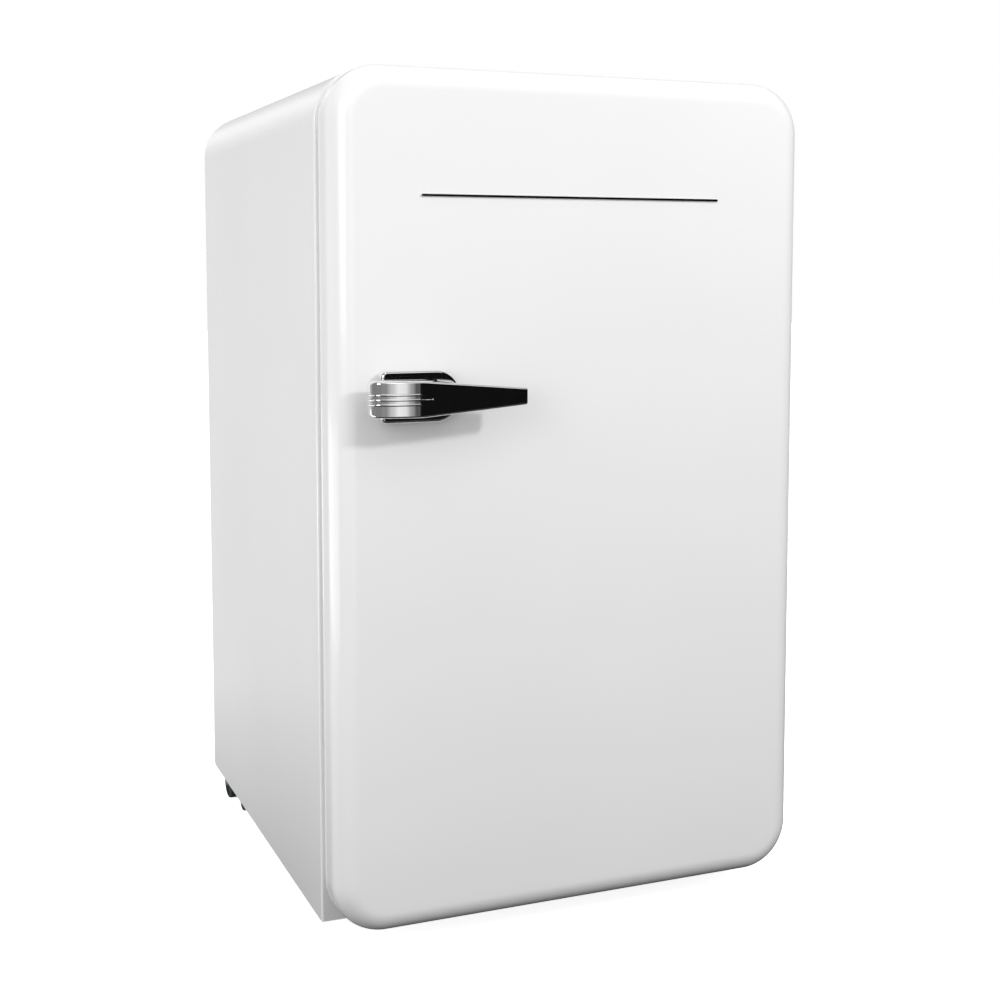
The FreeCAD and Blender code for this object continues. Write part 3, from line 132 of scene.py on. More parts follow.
def arch_outline(x0, x1, z0, z1, radius, steps=28):
    """Open outline up the left side, over the rounded top and down the right side."""
    points = [(x0, z0, -1.0, 0.0)]
    for cx, start in ((x0 + radius, 180), (x1 - radius, 90)):
        for angle in arc(start, start - 90, steps):
            nx, nz = math.cos(angle), math.sin(angle)
            points.append((cx + radius * nx, z1 - radius + radius * nz, nx, nz))
    points.append((x1, z0, 1.0, 0.0))
    return points


def sweep(name, outline, section, closed_outline, closed_section, lift=None):
    """Carries a section of (inset, y) points along an outline, and closes the ends with faces."""
    vertices = []
    count = len(section)
    last = len(outline) - 1
    for index, (x, z, nx, nz) in enumerate(outline):
        for inset, y in section:
            height = z - nz * inset
            if lift and index in (0, last):
                height += lift(y)
            vertices.append((x - nx * inset, y, height))
    faces = []
    turns = len(outline) if closed_outline else last
    steps = count if closed_section else count - 1
    for i in range(turns):
        a = i * count
        b = ((i + 1) % len(outline)) * count
        for j in range(steps):
            k = (j + 1) % count
            faces.append((a + j, a + k, b + k, b + j))
    if closed_outline and not closed_section:
        faces.append([i * count for i in range(len(outline))])
        faces.append([i * count + count - 1 for i in range(len(outline))][::-1])
    if not closed_outline and closed_section:
        faces.append(list(range(count)))
        faces.append([last * count + j for j in range(count)][::-1])
    return link(name, vertices, faces)


def cutter_box(low, high):
    corners = [(x, y, z) for x in (low[0], high[0]) for y in (low[1], high[1]) for z in (low[2], high[2])]
    faces = [(0, 1, 3, 2), (4, 6, 7, 5), (0, 4, 5, 1), (2, 3, 7, 6), (0, 2, 6, 4), (1, 5, 7, 3)]
    return link("cutter", corners, faces)


def subtract(thing, cutters):
    """Cuts the cutters out of a thing and removes them."""
    for cutter in cutters:
        cut = thing.modifiers.new("cut", "BOOLEAN")
        cut.operation = "DIFFERENCE"
        cut.solver = "EXACT"
        cut.object = cutter
    bpy.context.view_layer.update()
    apply_modifiers(thing)
    for cutter in cutters:
        bpy.data.objects.remove(cutter)


# ================================================================ materials
NOISE_LOW = 0.3
NOISE_HIGH = 0.7


def new_material(name):
    material = bpy.data.materials.new(name)
    material.use_nodes = True
    nodes = material.node_tree.nodes
    return material, nodes, material.node_tree.links, nodes["Principled BSDF"]


def noise(nodes, links, place, scale, detail=3.0, rough=0.5):
    texture = nodes.new("ShaderNodeTexNoise")
    texture.inputs["Scale"].default_value = scale
    texture.inputs["Detail"].default_value = detail
    texture.inputs["Roughness"].default_value = rough
    links.new(place, texture.inputs["Vector"])
    return texture.outputs["Fac"]


def object_place(nodes, links, stretch=(1, 1, 1)):
    coords = nodes.new("ShaderNodeTexCoord")
    mapping = nodes.new("ShaderNodeMapping")
    mapping.inputs["Scale"].default_value = stretch
    links.new(coords.outputs["Object"], mapping.inputs["Vector"])
    return mapping.outputs["Vector"]


def between(nodes, links, value, low, high):
    """A ramp from one number or colour to another over the usual span of a noise value."""
    colour = not isinstance(low, float)
    node = nodes.new("ShaderNodeValToRGB" if colour else "ShaderNodeMapRange")
    if colour:
        node.color_ramp.elements[0].position = NOISE_LOW
        node.color_ramp.elements[1].position = NOISE_HIGH
        node.color_ramp.elements[0].color = (*low, 1)
        node.color_ramp.elements[1].color = (*high, 1)
        links.new(value, node.inputs["Fac"])
        return node.outputs["Color"]
    node.inputs["From Min"].default_value = NOISE_LOW
    node.inputs["From Max"].default_value = NOISE_HIGH
    node.inputs["To Min"].default_value = low
    node.inputs["To Max"].default_value = high
    links.new(value, node.inputs["Value"])
    return node.outputs["Result"]


def bump(nodes, links, shader, height, distance):
    node = nodes.new("ShaderNodeBump")
    node.inputs["Distance"].default_value = distance
    node.inputs["Strength"].default_value = 1.0
    links.new(height, node.inputs["Height"])
    links.new(node.outputs["Normal"], shader.inputs["Normal"])


def finish(name, low, high, rough, metal=0.0, tone=9.0, grain=900.0, depth=0.02 * MM, coat=0.0,
           stretch=(1, 1, 1), through=0.0, ior=1.5):
    """A surface with a slow drift of colour (tone), and a fine grain in its roughness and its relief."""
    material, nodes, links, shader = new_material(name)
    place = object_place(nodes, links, stretch)
    slow = noise(nodes, links, place, tone)
    fine = noise(nodes, links, place, grain, 4.0, 0.6)
    links.new(between(nodes, links, slow, low, high), shader.inputs["Base Color"])
    links.new(between(nodes, links, fine, rough[0], rough[1]), shader.inputs["Roughness"])
    shader.inputs["Metallic"].default_value = metal
    shader.inputs["Coat Weight"].default_value = coat
    shader.inputs["Coat Roughness"].default_value = 0.04
    shader.inputs["IOR"].default_value = ior
    shader.inputs["Transmission Weight"].default_value = through
    bump(nodes, links, shader, fine, depth)
    return material


def grey(value):
    return (value, value, value)


def brushed(name, value, rough, stretch=(1, 1, 1)):
    """Rolled or drawn metal; a stretch under 1 draws its grain out into lines along that axis."""
    return finish(name, grey(value * 0.9), grey(value * 1.08), rough, metal=1.0, tone=6.0, grain=260.0,
                  depth=0.03 * MM, stretch=stretch)


def galvanised(name):
    """Zinc sheet with its crystal pattern."""
    material, nodes, links, shader = new_material(name)
    place = object_place(nodes, links)
    cells = nodes.new("ShaderNodeTexVoronoi")
    cells.inputs["Scale"].default_value = 85.0
    cells.inputs["Randomness"].default_value = 1.0
    links.new(place, cells.inputs["Vector"])
    value = nodes.new("ShaderNodeSeparateColor")
    links.new(cells.outputs["Color"], value.inputs["Color"])
    links.new(between(nodes, links, value.outputs["Red"], (0.42, 0.44, 0.46), (0.62, 0.64, 0.66)),
              shader.inputs["Base Color"])
    links.new(between(nodes, links, value.outputs["Green"], 0.32, 0.52), shader.inputs["Roughness"])
    shader.inputs["Metallic"].default_value = 1.0
    bump(nodes, links, shader, noise(nodes, links, place, 300.0), 0.03 * MM)
    return material


def foam_material(name):
    """Rigid foam with small closed cells."""
    material, nodes, links, shader = new_material(name)
    place = object_place(nodes, links)
    cells = nodes.new("ShaderNodeTexVoronoi")
    cells.inputs["Scale"].default_value = 700.0
    links.new(place, cells.inputs["Vector"])
    slow = noise(nodes, links, place, 20.0)
    links.new(between(nodes, links, slow, (0.78, 0.66, 0.38), (0.88, 0.78, 0.50)),
              shader.inputs["Base Color"])
    shader.inputs["Roughness"].default_value = 0.85
    bump(nodes, links, shader, cells.outputs["Distance"], 0.4 * MM)
    return material


def make_materials():
    """Every material of the object, by the name of its slot in the record."""
    made = {}

    def add(name, low, high, rough, **look):
        made[name] = finish(name, low, high, rough, **look)

    add("white_enamel", grey(0.80), grey(0.83), (0.20, 0.26), tone=3.0, grain=420.0, depth=0.004 * MM,
        coat=0.25)
    add("liner_white", (0.80, 0.81, 0.81), (0.84, 0.85, 0.85), (0.30, 0.42), tone=6.0, grain=600.0)
    add("trim_white", (0.79, 0.80, 0.80), (0.83, 0.84, 0.84), (0.28, 0.36), tone=12.0)
    add("panel_grey", (0.60, 0.61, 0.61), (0.66, 0.67, 0.67), (0.42, 0.55), tone=5.0, grain=450.0,
        depth=0.1 * MM)
    made["zinc_steel"] = galvanised("zinc_steel")
    made["screw_steel"] = brushed("screw_steel", 0.62, (0.22, 0.38))
    made["tube_steel"] = brushed("tube_steel", 0.25, (0.4, 0.6))
    made["aluminium"] = brushed("aluminium", 0.80, (0.28, 0.42), stretch=(0.05, 1, 1))
    add("copper", (0.72, 0.33, 0.18), (0.90, 0.48, 0.30), (0.22, 0.4), metal=1.0, tone=30.0, grain=300.0,
        depth=0.03 * MM)
    add("chrome", (0.86, 0.86, 0.87), (0.90, 0.90, 0.91), (0.03, 0.06), metal=1.0, tone=20.0, grain=300.0,
        depth=0.001 * MM)
    add("compressor_black", (0.012, 0.012, 0.013), (0.02, 0.02, 0.022), (0.22, 0.34), tone=12.0, grain=260.0,
        depth=0.06 * MM, coat=0.3)
    add("rubber_black", grey(0.015), grey(0.03), (0.6, 0.8), tone=40.0, depth=0.05 * MM)
    add("cover_black", grey(0.02), grey(0.035), (0.4, 0.55), tone=30.0, grain=1200.0, depth=0.06 * MM)
    add("tray_grey", (0.20, 0.21, 0.22), (0.27, 0.28, 0.29), (0.4, 0.55), tone=20.0, depth=0.05 * MM)
    add("wheel_green_black", (0.018, 0.026, 0.022), (0.035, 0.048, 0.040), (0.42, 0.6), tone=50.0,
        depth=0.06 * MM)
    add("foot_plastic", (0.02, 0.02, 0.022), (0.035, 0.035, 0.038), (0.45, 0.6), tone=50.0, depth=0.06 * MM)
    add("gasket_white", (0.82, 0.83, 0.83), (0.87, 0.88, 0.88), (0.5, 0.62), tone=20.0, grain=500.0,
        depth=0.05 * MM)
    add("nylon", (0.70, 0.69, 0.62), (0.78, 0.77, 0.70), (0.45, 0.6), tone=60.0, depth=0.04 * MM)
    add("dial_grey", (0.28, 0.29, 0.31), (0.34, 0.35, 0.37), (0.35, 0.5), tone=60.0, grain=1200.0,
        depth=0.04 * MM)
    add("rack_clear", (0.86, 0.91, 0.94), (0.90, 0.94, 0.96), (0.06, 0.14), tone=12.0, grain=300.0,
        through=0.85, ior=1.45)
    add("flap_clear", (0.70, 0.82, 0.90), (0.78, 0.88, 0.94), (0.2, 0.32), tone=12.0, grain=500.0,
        depth=0.04 * MM, through=0.6, ior=1.45)
    add("shelf_glass", (0.88, 0.96, 0.93), (0.92, 0.98, 0.95), (0.01, 0.03), tone=8.0, grain=60.0,
        depth=0.001 * MM, through=1.0)
    made["foam"] = foam_material("foam")
    return made


MATERIALS = make_materials()


def dress(thing, slot_name):
    """Gives a new piece the material of the record's slot with the given name."""
    thing.data.materials.clear()
    thing.data.materials.append(MATERIALS[slot_name])


def dress_cad_nodes():
    """Gives each CAD node the material of its slot in the record."""
    for entry in frame["record"]["subparts"]:
        node = frame["nodes"][entry["node"]]
        material = MATERIALS[entry["material_slot"]]
        if not node.material_slots:
            node.data.materials.append(material)
        for holder in node.material_slots:
            holder.material = material


# ================================================================ cabinet and door skins
def bend(radius, inset, y, start, end, steps):
    """Points of a rounded fold as (inset, y), turning about a centre."""
    return [(inset + radius * math.cos(a), y + radius * math.sin(a)) for a in arc(start, end, steps)]


def cabinet_skin():
    """Outer sheet folded over the sides and the top, with soft folds round its front and rear edges."""
    y0, y1 = SHELL_LOW.y, SHELL_HIGH.y
    fold = 2.2 * MM
    front, rear = 20 * MM, 12 * MM
    inner = fold - SHEET
    section = [(front, y0)]
    section += bend(fold, fold, y0 + fold, 270, 180, 8)
    section += [(0, y0 + 6 * MM), (0, y1 - 6 * MM)]
    section += bend(fold, fold, y1 - fold, 180, 90, 8)
    section += [(rear, y1), (rear, y1 - SHEET)]
    section += bend(inner, fold, y1 - fold, 90, 180, 6)
    section += bend(inner, fold, y0 + fold, 180, 270, 6)
    section += [(front, y0 + SHEET)]
    outline = arch_outline(SHELL_LOW.x, SHELL_HIGH.x, SHELL_LOW.z, SHELL_HIGH.z, CORNER_R)
    rear_corner = 8 * MM

    def lift(y):
        """Rise of the sheet's foot near the rear, where its lower corner is rounded."""
        past = y - (y1 - rear_corner)
        return 0 if past <= 0 else rear_corner - math.sqrt(max(rear_corner ** 2 - past ** 2, 0))

    skin = sweep("cabinet_skin", outline, section, False, True, lift)
    return crisp(skin)


def door_skin():
    """Drawn door panel: flat face, rounded edge, short flat side with a fine lip along its rear.

    It is cut out around the tongues of the two hinge brackets.
    """
    y0, y1 = DOOR_LOW.y, DOOR_HIGH.y
    step = 0.5 * MM
    flat_rim = 14 * MM
    centre_inset = step + DOOR_EDGE_R
    centre_y = y0 + DOOR_EDGE_R
    outer = [(0, y1), (0, y1 - 1.4 * MM), (step, y1 - 2.0 * MM), (step, y1 - 4 * MM)]
    outer += bend(DOOR_EDGE_R, centre_inset, centre_y, 180, 270, 18)
    outer += [(centre_inset + 3 * MM, y0), (centre_inset + flat_rim, y0)]
    inner = bend(DOOR_EDGE_R - SHEET, centre_inset, centre_y, 270, 180, 10)
    inner += [(step + SHEET, y1 - 1 * MM), (step + SHEET, y1)]
    inner = [(centre_inset + flat_rim, y0 + SHEET)] + inner
    outline = rounded_outline(DOOR_LOW.x, DOOR_HIGH.x, DOOR_LOW.z, DOOR_HIGH.z, CORNER_R, 24)
    skin = sweep("door_skin", outline, inner + outer, True, False)
    plate = 3 * MM
    room = 2 * MM
    past = 5 * MM
    tongues = (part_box("bottom_hinge_bracket")[0].z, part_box("top_hinge_bracket")[1].z - plate)
    subtract(skin, [cutter_box((HINGE_AT.x - 7.5 * MM, HINGE_AT.y - 12.5 * MM, tongue - room),
                               (DOOR_HIGH.x + past, y1 + past, tongue + plate + room))
                    for tongue in tongues])
    return crisp(skin)


# ================================================================ handle
LEVER_Z = (LEVER_LOW.z + LEVER_HIGH.z) / 2
HUB_HALF = (LEVER_HIGH.z - LEVER_LOW.z) / 2
TIP_HALF = 7.6 * MM
TAPER_START = LEVER_LOW.x + 47.5 * MM
FACE_Y = DOOR_LOW.y
REACH = FACE_Y - LEVER_LOW.y
BEAD_PROUD = 0.7 * MM   # how far a bead stands out from the hub
BEAD_R = 1.35 * MM
BEAD_PITCH = 4.3 * MM
BASE_PROUD = 13 * MM    # height of the base's front over the door's face


def lever_half(x):
    """Half the lever's height: full over the hub, narrowing evenly to the tip, with soft left corners."""
    share = min(max((x - TAPER_START) / (LEVER_HIGH.x - TAPER_START), 0), 1)
    corner = min(max(1 - (x - LEVER_LOW.x) / (4 * MM), 0), 1)
    return HUB_HALF + (TIP_HALF - HUB_HALF) * share - 1.6 * MM * corner ** 2


def curve_through(points, steps):
    """Points along the arc of the circle through three points."""
    (ax, ay), (bx, by), (cx, cy) = points
    area_4 = 2 * (ax * (by - cy) + bx * (cy - ay) + cx * (ay - by))
    a_square, b_square, c_square = (x * x + y * y for x, y in points)
    middle_x = (a_square * (by - cy) + b_square * (cy - ay) + c_square * (ay - by)) / area_4
    middle_y = (a_square * (cx - bx) + b_square * (ax - cx) + c_square * (bx - ax)) / area_4
    radius = math.hypot(ax - middle_x, ay - middle_y)
    first, second, last = (math.atan2(y - middle_y, x - middle_x) for x, y in points)
    full_turn = 2 * math.pi
    span = (last - first) % full_turn
    if (second - first) % full_turn > span:
        span -= full_turn
    turns = [first + span * k / steps for k in range(steps + 1)]
    return [(middle_x + radius * math.cos(turn), middle_y + radius * math.sin(turn)) for turn in turns]


def lever_at(dx, out):
    """A plan point by its way along the lever in mm and its distance from the door's face in metres."""
    return (LEVER_LOW.x + dx * MM, FACE_Y - out)


def hub_front():
    """Plan of the hub's front, from the crease beside the arm round to its left side."""
    reach = REACH - BEAD_PROUD
    points = curve_through([lever_at(45, reach), lever_at(43, reach - 0.06 * MM),
                            lever_at(41, reach - 0.22 * MM)], 5)
    points += curve_through([lever_at(40, reach - 0.34 * MM), lever_at(26, reach - 2.3 * MM),
                             lever_at(11, reach - 5.9 * MM)], 16)
    points += curve_through([lever_at(9.5, reach - 6.4 * MM), lever_at(3.2, reach - 10.2 * MM),
                             lever_at(0.6, reach - 17 * MM)], 10)
    return points


def lever_plan():
    """Plan outline of the lever as (x, y), from the tip's front round by the hub and back to the tip."""
    tip = LEVER_HIGH.x
    reach = REACH - BEAD_PROUD
    back = 15.5 * MM
    back_turn = lever_at(56, back)
    points = [(tip - 2 * MM, FACE_Y - reach), (tip - 40 * MM, FACE_Y - reach)]
    points += hub_front()
    points += curve_through([lever_at(0.6, back + 3 * MM), lever_at(1.5, back + 0.9 * MM),
                             lever_at(3.6, back)], 4)
    points += [back_turn]
    points += curve_through([back_turn, lever_at(70, back + 7.2 * MM), lever_at(76, REACH - 10 * MM)], 10)[1:]
    points += [(tip - 3 * MM, FACE_Y - REACH + 7.5 * MM)]
    points += curve_through([(tip - 1.5 * MM, FACE_Y - REACH + 7.2 * MM), (tip, FACE_Y - REACH + 4 * MM),
                             (tip - 1.0 * MM, FACE_Y - reach + 0.4 * MM)], 6)
    return points


def outward(points, index):
    """Unit outward direction of a closed plan outline at one of its points."""
    count = len(points)
    ax, ay = points[index - 1]
    bx, by = points[(index + 1) % count]
    dx, dy = bx - ax, by - ay
    size = math.hypot(dx, dy)
    return dy / size, -dx / size


def is_clockwise(points):
    total = 0.0
    for (ax, ay), (bx, by) in zip(points, points[1:] + points[:1]):
        total += (bx - ax) * (by + ay)
    return total > 0


def plate_from_plan(name, points, half_at, round_r, steps=5):
    """A thick plate on a plan outline whose top and bottom edges are rounded."""
    if is_clockwise(points):
        points = points[::-1]
    layers = [(round_r * (1 - math.cos(a)), -1, round_r * (1 - math.sin(a))) for a in arc(90, 0, steps)]
    layers += [(round_r * (1 - math.cos(a)), 1, round_r * (1 - math.sin(a))) for a in arc(0, 90, steps)]
    vertices = []
    for inset, side, drop in layers:
        for index, (x, y) in enumerate(points):
            nx, ny = outward(points, index)
            px, py = x - nx * inset, y - ny * inset
            vertices.append((px, py, LEVER_Z + side * (half_at(x) - drop)))
    count = len(points)
    faces = []
    for layer in range(len(layers) - 1):
        for i in range(count):
            j = (i + 1) % count
            a, b = layer * count, (layer + 1) * count
            faces.append((a + i, a + j, b + j, b + i))
    faces.append(list(range(count))[::-1])
    faces.append([(len(layers) - 1) * count + i for i in range(count)])
    return link(name, vertices, faces)


def lever_skin():
    """Smooth lever, with the slot in its back that leaves room for the lug on the pivot."""
    skin = plate_from_plan("lever_skin", lever_plan(), lever_half, 2.2 * MM, 8)
    slot_half = 8.5 * MM
    slot_low = (LEVER_AT.x - 10.5 * MM, LEVER_AT.y - 7.5 * MM, LEVER_AT.z - slot_half)
    slot_high = (LEVER_AT.x + 8 * MM, FACE_Y - 12 * MM, LEVER_AT.z + slot_half)
    subtract(skin, [cutter_box(slot_low, slot_high)])
    return crisp(skin)


def bead(name, level, with_pointer):
    """Half-round bead along the hub's front; the middle one runs on as a fine line to a small stud."""
    face = FACE_Y - REACH + BEAD_PROUD
    nose = LEVER_LOW.x + 43 * MM
    path = [(x, y, 1.0) for x, y in hub_front()[::-1] if x < nose - 1 * MM]
    path += [(nose - 0.2 * MM, face + 0.5 * MM, 0.95), (nose + 0.6 * MM, face + 0.3 * MM, 0.7)]
    if with_pointer:
        stud = LEVER_LOW.x + 53.5 * MM
        path += [(nose + 1.2 * MM, face + 0.1 * MM, 0.3), (stud - 1.3 * MM, face, 0.22)]
        path += [(stud - 0.9 * MM, face, 0.5), (stud, face, 0.62), (stud + 0.9 * MM, face, 0.5)]
        path += [(stud + 1.2 * MM, face, 0.1)]
    else:
        path += [(nose + 1.0 * MM, face + 0.4 * MM, 0.3)]
    curve = bpy.data.curves.new(name, "CURVE")
    curve.dimensions = "3D"
    curve.bevel_depth = BEAD_R
    curve.bevel_resolution = 5
    curve.use_fill_caps = True
    line = curve.splines.new("POLY")
    line.points.add(len(path) - 1)
    for point, (x, y, size) in zip(line.points, path):
        point.co = (x, y + max(size * BEAD_R - BEAD_PROUD, 0), LEVER_Z + level * BEAD_PITCH, 1)
        point.radius = size
    thing = bpy.data.objects.new(name, curve)
    bpy.context.scene.collection.objects.link(thing)
    graph = bpy.context.evaluated_depsgraph_get()
    mesh = bpy.data.meshes.new_from_object(thing.evaluated_get(graph))
    bpy.data.objects.remove(thing)
    made = bpy.data.objects.new(name, mesh)
    bpy.context.scene.collection.objects.link(made)
    mesh.polygons.foreach_set("use_smooth", [True] * len(mesh.polygons))
    return made


def base_outline(steps=26):
    """D-shaped outline of the base in the XZ plane: soft corners on the left, half round on the right."""
    x0, x1 = BASE_LOW.x, BASE_HIGH.x
    z0, z1 = BASE_LOW.z, BASE_HIGH.z
    big = (z1 - z0) / 2
    small = 5.5 * MM
    points = []
    for angle in arc(-90, 90, steps):
        nx, nz = math.cos(angle), math.sin(angle)
        points.append((x1 - big + big * nx, (z0 + z1) / 2 + big * nz, nx, nz))
    for cz, start in ((z1 - small, 90), (z0 + small, 180)):
        for angle in arc(start, start + 90, 6):
            nx, nz = math.cos(angle), math.sin(angle)
            points.append((x0 + small + small * nx, cz + small * nz, nx, nz))
    return points


def base_skin():
    """Base boss: upright rim, rounded shoulder, then the flat front."""
    top = FACE_Y - BASE_PROUD
    shoulder = 2.8 * MM
    section = [(0, FACE_Y), (0, top + 4 * MM)]
    section += bend(shoulder, shoulder, top + shoulder, 180, 270, 10)
    section += [(4.5 * MM, top)]
    return crisp(sweep("base_skin", base_outline(), section, True, False))


def base_lug():
    """Rounded lug between the base and the hub, on the pivot's axis."""
    radius, half = 6.5 * MM, 8 * MM
    sunk = 1 * MM
    foot = FACE_Y - BASE_PROUD + sunk
    points = [(LEVER_AT.x + radius * math.cos(a), LEVER_AT.y + radius * math.sin(a))
              for a in arc(180, 360, 16)]
    points += [(LEVER_AT.x + radius, foot), (LEVER_AT.x - radius, foot)]
    return crisp(plate_from_plan("base_lug", points, lambda x: half, 0.8 * MM, 3))


def strip_skin():
    """Slim chrome strip with softened edges and round ends."""
    half = (STRIP_HIGH.z - STRIP_LOW.z) / 2
    outline = rounded_outline(STRIP_LOW.x, STRIP_HIGH.x, STRIP_LOW.z, STRIP_HIGH.z, half * 0.98, 8)
    depth = STRIP_HIGH.y - STRIP_LOW.y
    section = [(0, STRIP_HIGH.y), (0, STRIP_LOW.y + depth * 0.5)]
    section += bend(half * 0.35, half * 0.35, STRIP_LOW.y + half * 0.35, 180, 270, 6)
    return crisp(sweep("strip_skin", outline, section, True, False))


def stand_in(thing, slot_name, body, *nodes):
    """Dresses a piece, hides the CAD nodes that it stands for, and lets it move with a body."""
    dress(thing, slot_name)
    if nodes:
        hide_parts(*nodes)
    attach(thing, body)


def build_pieces():
    stand_in(cabinet_skin(), "white_enamel", "cabinet", "cabinet_shell")
    stand_in(door_skin(), "white_enamel", "door", "door_outer_panel")
    stand_in(lever_skin(), "chrome", "handle", "handle_lever")
    stand_in(base_skin(), "chrome", "door", "handle_base")
    stand_in(base_lug(), "chrome", "door")
    stand_in(strip_skin(), "chrome", "door", "trim_strip")
    for word, level in (("upper", 1), ("middle", 0), ("lower", -1)):
        stand_in(bead("hub_bead_" + word, level, level == 0), "chrome", "handle")


# ================================================================ studio
# The camera comes from a perspective fit to the photo; the tones and light powers are matched to its greys.
CAMERA_AT = (-0.6106, -1.5478, 0.6393)
CAMERA_YAW = 22.21
CAMERA_PITCH = -4.95
CAMERA_LENS = 54.44
CAMERA_SHIFT_Y = -0.10
FLOOR_GLOW = 0.85                   # the floor's own light, for the camera only
FLOOR_BOUNCE = 0.04                 # grey of the quiet patch that every other ray meets
QUIET_CENTRE = (0.32, -0.6, 0.0)
QUIET_REACH = (0.8, 1.5)            # the patch fades out between these distances from its centre
ROOM_LIGHT = 0.70                   # surroundings of diffuse rays
CEILING_SHINE = 0.4                 # surroundings of mirror rays that go up, over this span of their Z
CEILING_SPAN = (0.72, 0.95)
BACK_SHINE = 0.40                   # surroundings of mirror rays that go to the rear, over this span of Y
BACK_SPAN = (0.15, 0.60)
WALL_SPAN = (0.5, -0.5)             # surroundings of mirror rays by X: place 0 to 1 over this span, and tone
WALL_TONES = ((0.0, 0.004), (0.31, 0.006), (0.37, 0.08), (0.43, 0.35), (0.52, 0.86), (0.59, 0.92),
              (0.67, 0.60), (0.75, 0.27), (1.0, 0.22))


def camera():
    data = bpy.data.cameras.new("camera")
    data.sensor_width = 36.0
    data.lens = CAMERA_LENS
    data.shift_y = CAMERA_SHIFT_Y
    data.clip_start = 0.05
    data.clip_end = 60
    thing = bpy.data.objects.new("camera", data)
    thing.location = CAMERA_AT
    thing.rotation_euler = Euler((math.radians(90 + CAMERA_PITCH), 0, math.radians(-CAMERA_YAW)))
    bpy.context.scene.collection.objects.link(thing)
    bpy.context.scene.camera = thing


def floor():
    """Pale studio floor: bright to the eye, quiet near the object and open farther out to every other ray."""
    size = 14.0
    thing = link("floor", [(-size, -size, 0), (size, -size, 0), (size, size, 0), (-size, size, 0)],
                 [(0, 1, 2, 3)])
    material, nodes, links, shader = new_material("floor_pale")
    place = object_place(nodes, links)
    slow = noise(nodes, links, place, 2.0)
    links.new(between(nodes, links, slow, (0.90, 0.90, 0.90), (0.92, 0.92, 0.92)),
              shader.inputs["Base Color"])
    shader.inputs["Roughness"].default_value = 0.7
    shader.inputs["Specular IOR Level"].default_value = 0.0
    shader.inputs["Emission Color"].default_value = (1, 1, 1, 1)
    shader.inputs["Emission Strength"].default_value = FLOOR_GLOW
    quiet = nodes.new("ShaderNodeBsdfDiffuse")
    quiet.inputs["Color"].default_value = (FLOOR_BOUNCE, FLOOR_BOUNCE, FLOOR_BOUNCE, 1)
    away = nodes.new("ShaderNodeVectorMath")
    away.operation = "DISTANCE"
    links.new(place, away.inputs[0])
    away.inputs[1].default_value = QUIET_CENTRE
    reach = nodes.new("ShaderNodeMapRange")
    reach.inputs["From Min"].default_value, reach.inputs["From Max"].default_value = QUIET_REACH
    links.new(away.outputs["Value"], reach.inputs["Value"])
    clear = nodes.new("ShaderNodeBsdfTransparent")
    thrown = nodes.new("ShaderNodeMixShader")
    links.new(reach.outputs["Result"], thrown.inputs["Fac"])
    links.new(quiet.outputs["BSDF"], thrown.inputs[1])
    links.new(clear.outputs["BSDF"], thrown.inputs[2])
    path = nodes.new("ShaderNodeLightPath")
    both = nodes.new("ShaderNodeMixShader")
    links.new(path.outputs["Is Camera Ray"], both.inputs["Fac"])
    links.new(thrown.outputs["Shader"], both.inputs[1])
    links.new(shader.outputs["BSDF"], both.inputs[2])
    links.new(both.outputs["Shader"], nodes["Material Output"].inputs["Surface"])
    thing.data.materials.append(material)


def area_light(name, place, target, size, power, mirrored=True):
    """Rectangular light aimed at a target; one that isn't mirrored stays out of reflections."""
    data = bpy.data.lights.new(name, "AREA")
    data.shape = "RECTANGLE"
    data.size, data.size_y = size
    data.energy = power
    thing = bpy.data.objects.new(name, data)
    thing.location = place
    aim = Vector(target) - Vector(place)
    thing.rotation_euler = aim.to_track_quat("-Z", "Y").to_euler()
    thing.visible_glossy = mirrored
    bpy.context.scene.collection.objects.link(thing)


def lights():
    """Small key from the upper right, and soft boxes at the front left, low at the left, above and behind."""
    area_light("key", (1.225, -2.025, 1.715), (-0.05, -0.28, 0.55), (0.22, 0.22), 26, mirrored=False)
    area_light("front_soft", (-2.3, -2.2, 1.4), (-0.2, 0, 0.5), (1.6, 2.0), 33)
    area_light("side_soft", (-1.5, 0.3, 0.15), (-0.24, 0.1, 0.1), (1.8, 0.4), 6)
    area_light("high_soft", (0.3, -1.6, 2.2), (0, -0.2, 0.7), (1.6, 0.8), 4)
    area_light("top_soft", (-0.1, 0.9, 2.2), (0, 0.1, 0.82), (1.0, 0.6), 20, mirrored=False)


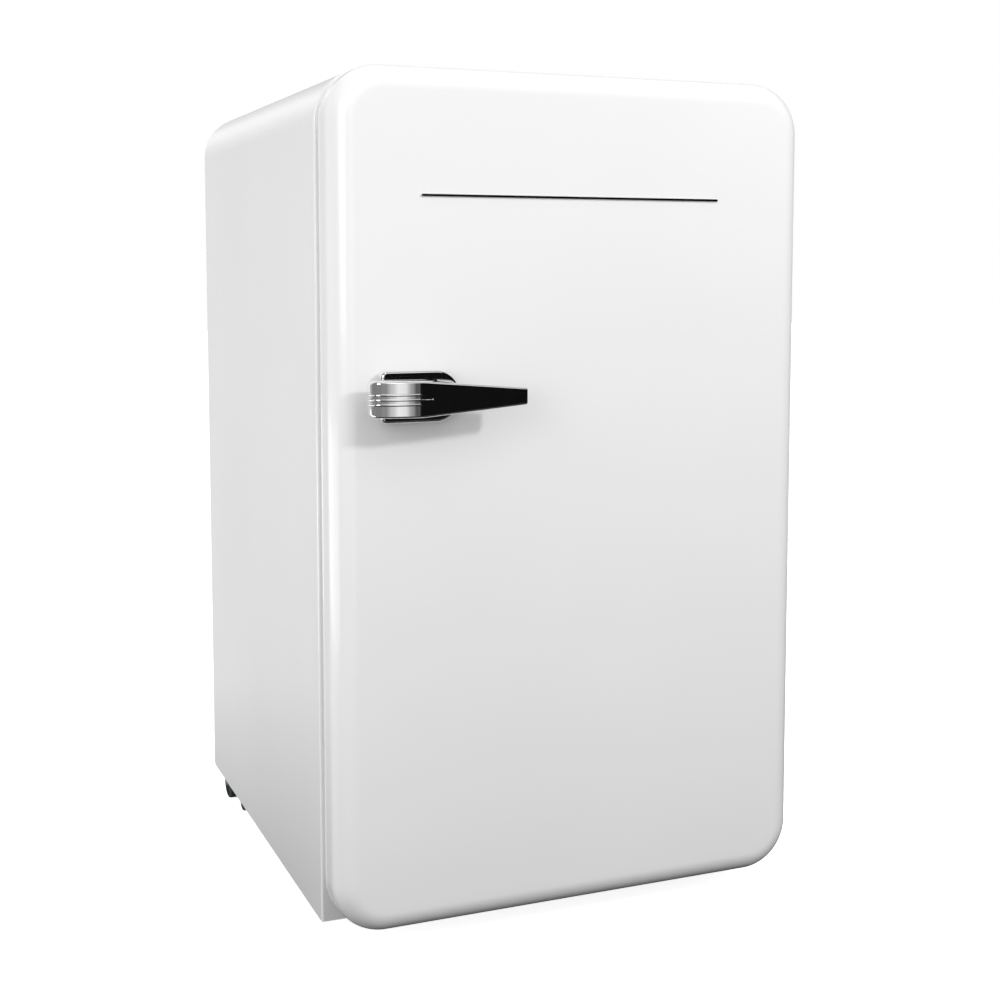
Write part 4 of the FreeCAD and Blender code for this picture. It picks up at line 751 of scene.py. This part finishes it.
def world():
    """White for the eye, an even room for diffuse light, and its own wall and ceiling for reflections."""
    surroundings = bpy.data.worlds.new("studio")
    surroundings.use_nodes = True
    bpy.context.scene.world = surroundings
    nodes = surroundings.node_tree.nodes
    links = surroundings.node_tree.links
    nodes.clear()
    output = nodes.new("ShaderNodeOutputWorld")
    path = nodes.new("ShaderNodeLightPath")
    coords = nodes.new("ShaderNodeTexCoord")

    def backdrop(strength):
        node = nodes.new("ShaderNodeBackground")
        node.inputs["Color"].default_value = (1, 1, 1, 1)
        node.inputs["Strength"].default_value = strength
        return node

    def mix(factor, first, second):
        node = nodes.new("ShaderNodeMixShader")
        links.new(factor, node.inputs["Fac"])
        links.new(first, node.inputs[1])
        links.new(second, node.inputs[2])
        return node.outputs["Shader"]

    def share(value, span, top=1.0, blend="SMOOTHSTEP"):
        """Rises from nothing to the top while the value goes over the span."""
        node = nodes.new("ShaderNodeMapRange")
        node.interpolation_type = blend
        node.inputs["From Min"].default_value, node.inputs["From Max"].default_value = span
        node.inputs["To Max"].default_value = top
        links.new(value, node.inputs["Value"])
        return node.outputs["Result"]

    def brighter(first, second):
        node = nodes.new("ShaderNodeMath")
        node.operation = "MAXIMUM"
        links.new(first, node.inputs[0])
        links.new(second, node.inputs[1])
        return node.outputs["Value"]

    split = nodes.new("ShaderNodeSeparateXYZ")
    links.new(coords.outputs["Generated"], split.inputs["Vector"])
    wall = nodes.new("ShaderNodeValToRGB")
    wall.color_ramp.interpolation = "EASE"
    while len(wall.color_ramp.elements) < len(WALL_TONES):
        wall.color_ramp.elements.new(0.5)
    for element, (place, tone) in zip(wall.color_ramp.elements, WALL_TONES):
        element.position = place
        element.color = (tone, tone, tone, 1)
    links.new(share(split.outputs["X"], WALL_SPAN, blend="LINEAR"), wall.inputs["Fac"])
    ceiling = share(split.outputs["Z"], CEILING_SPAN, CEILING_SHINE)
    behind = share(split.outputs["Y"], BACK_SPAN, BACK_SHINE)
    shine = backdrop(0.0)
    links.new(brighter(brighter(wall.outputs["Color"], ceiling), behind), shine.inputs["Strength"])
    seen = mix(path.outputs["Is Glossy Ray"], backdrop(ROOM_LIGHT).outputs["Background"],
               shine.outputs["Background"])
    whole = mix(path.outputs["Is Camera Ray"], seen, backdrop(1.0).outputs["Background"])
    links.new(whole, output.inputs["Surface"])


def studio():
    camera()
    floor()
    lights()
    world()
    view = bpy.context.scene.view_settings
    view.view_transform = "Standard"
    view.look = "None"


dress_cad_nodes()
build_pieces()
studio()
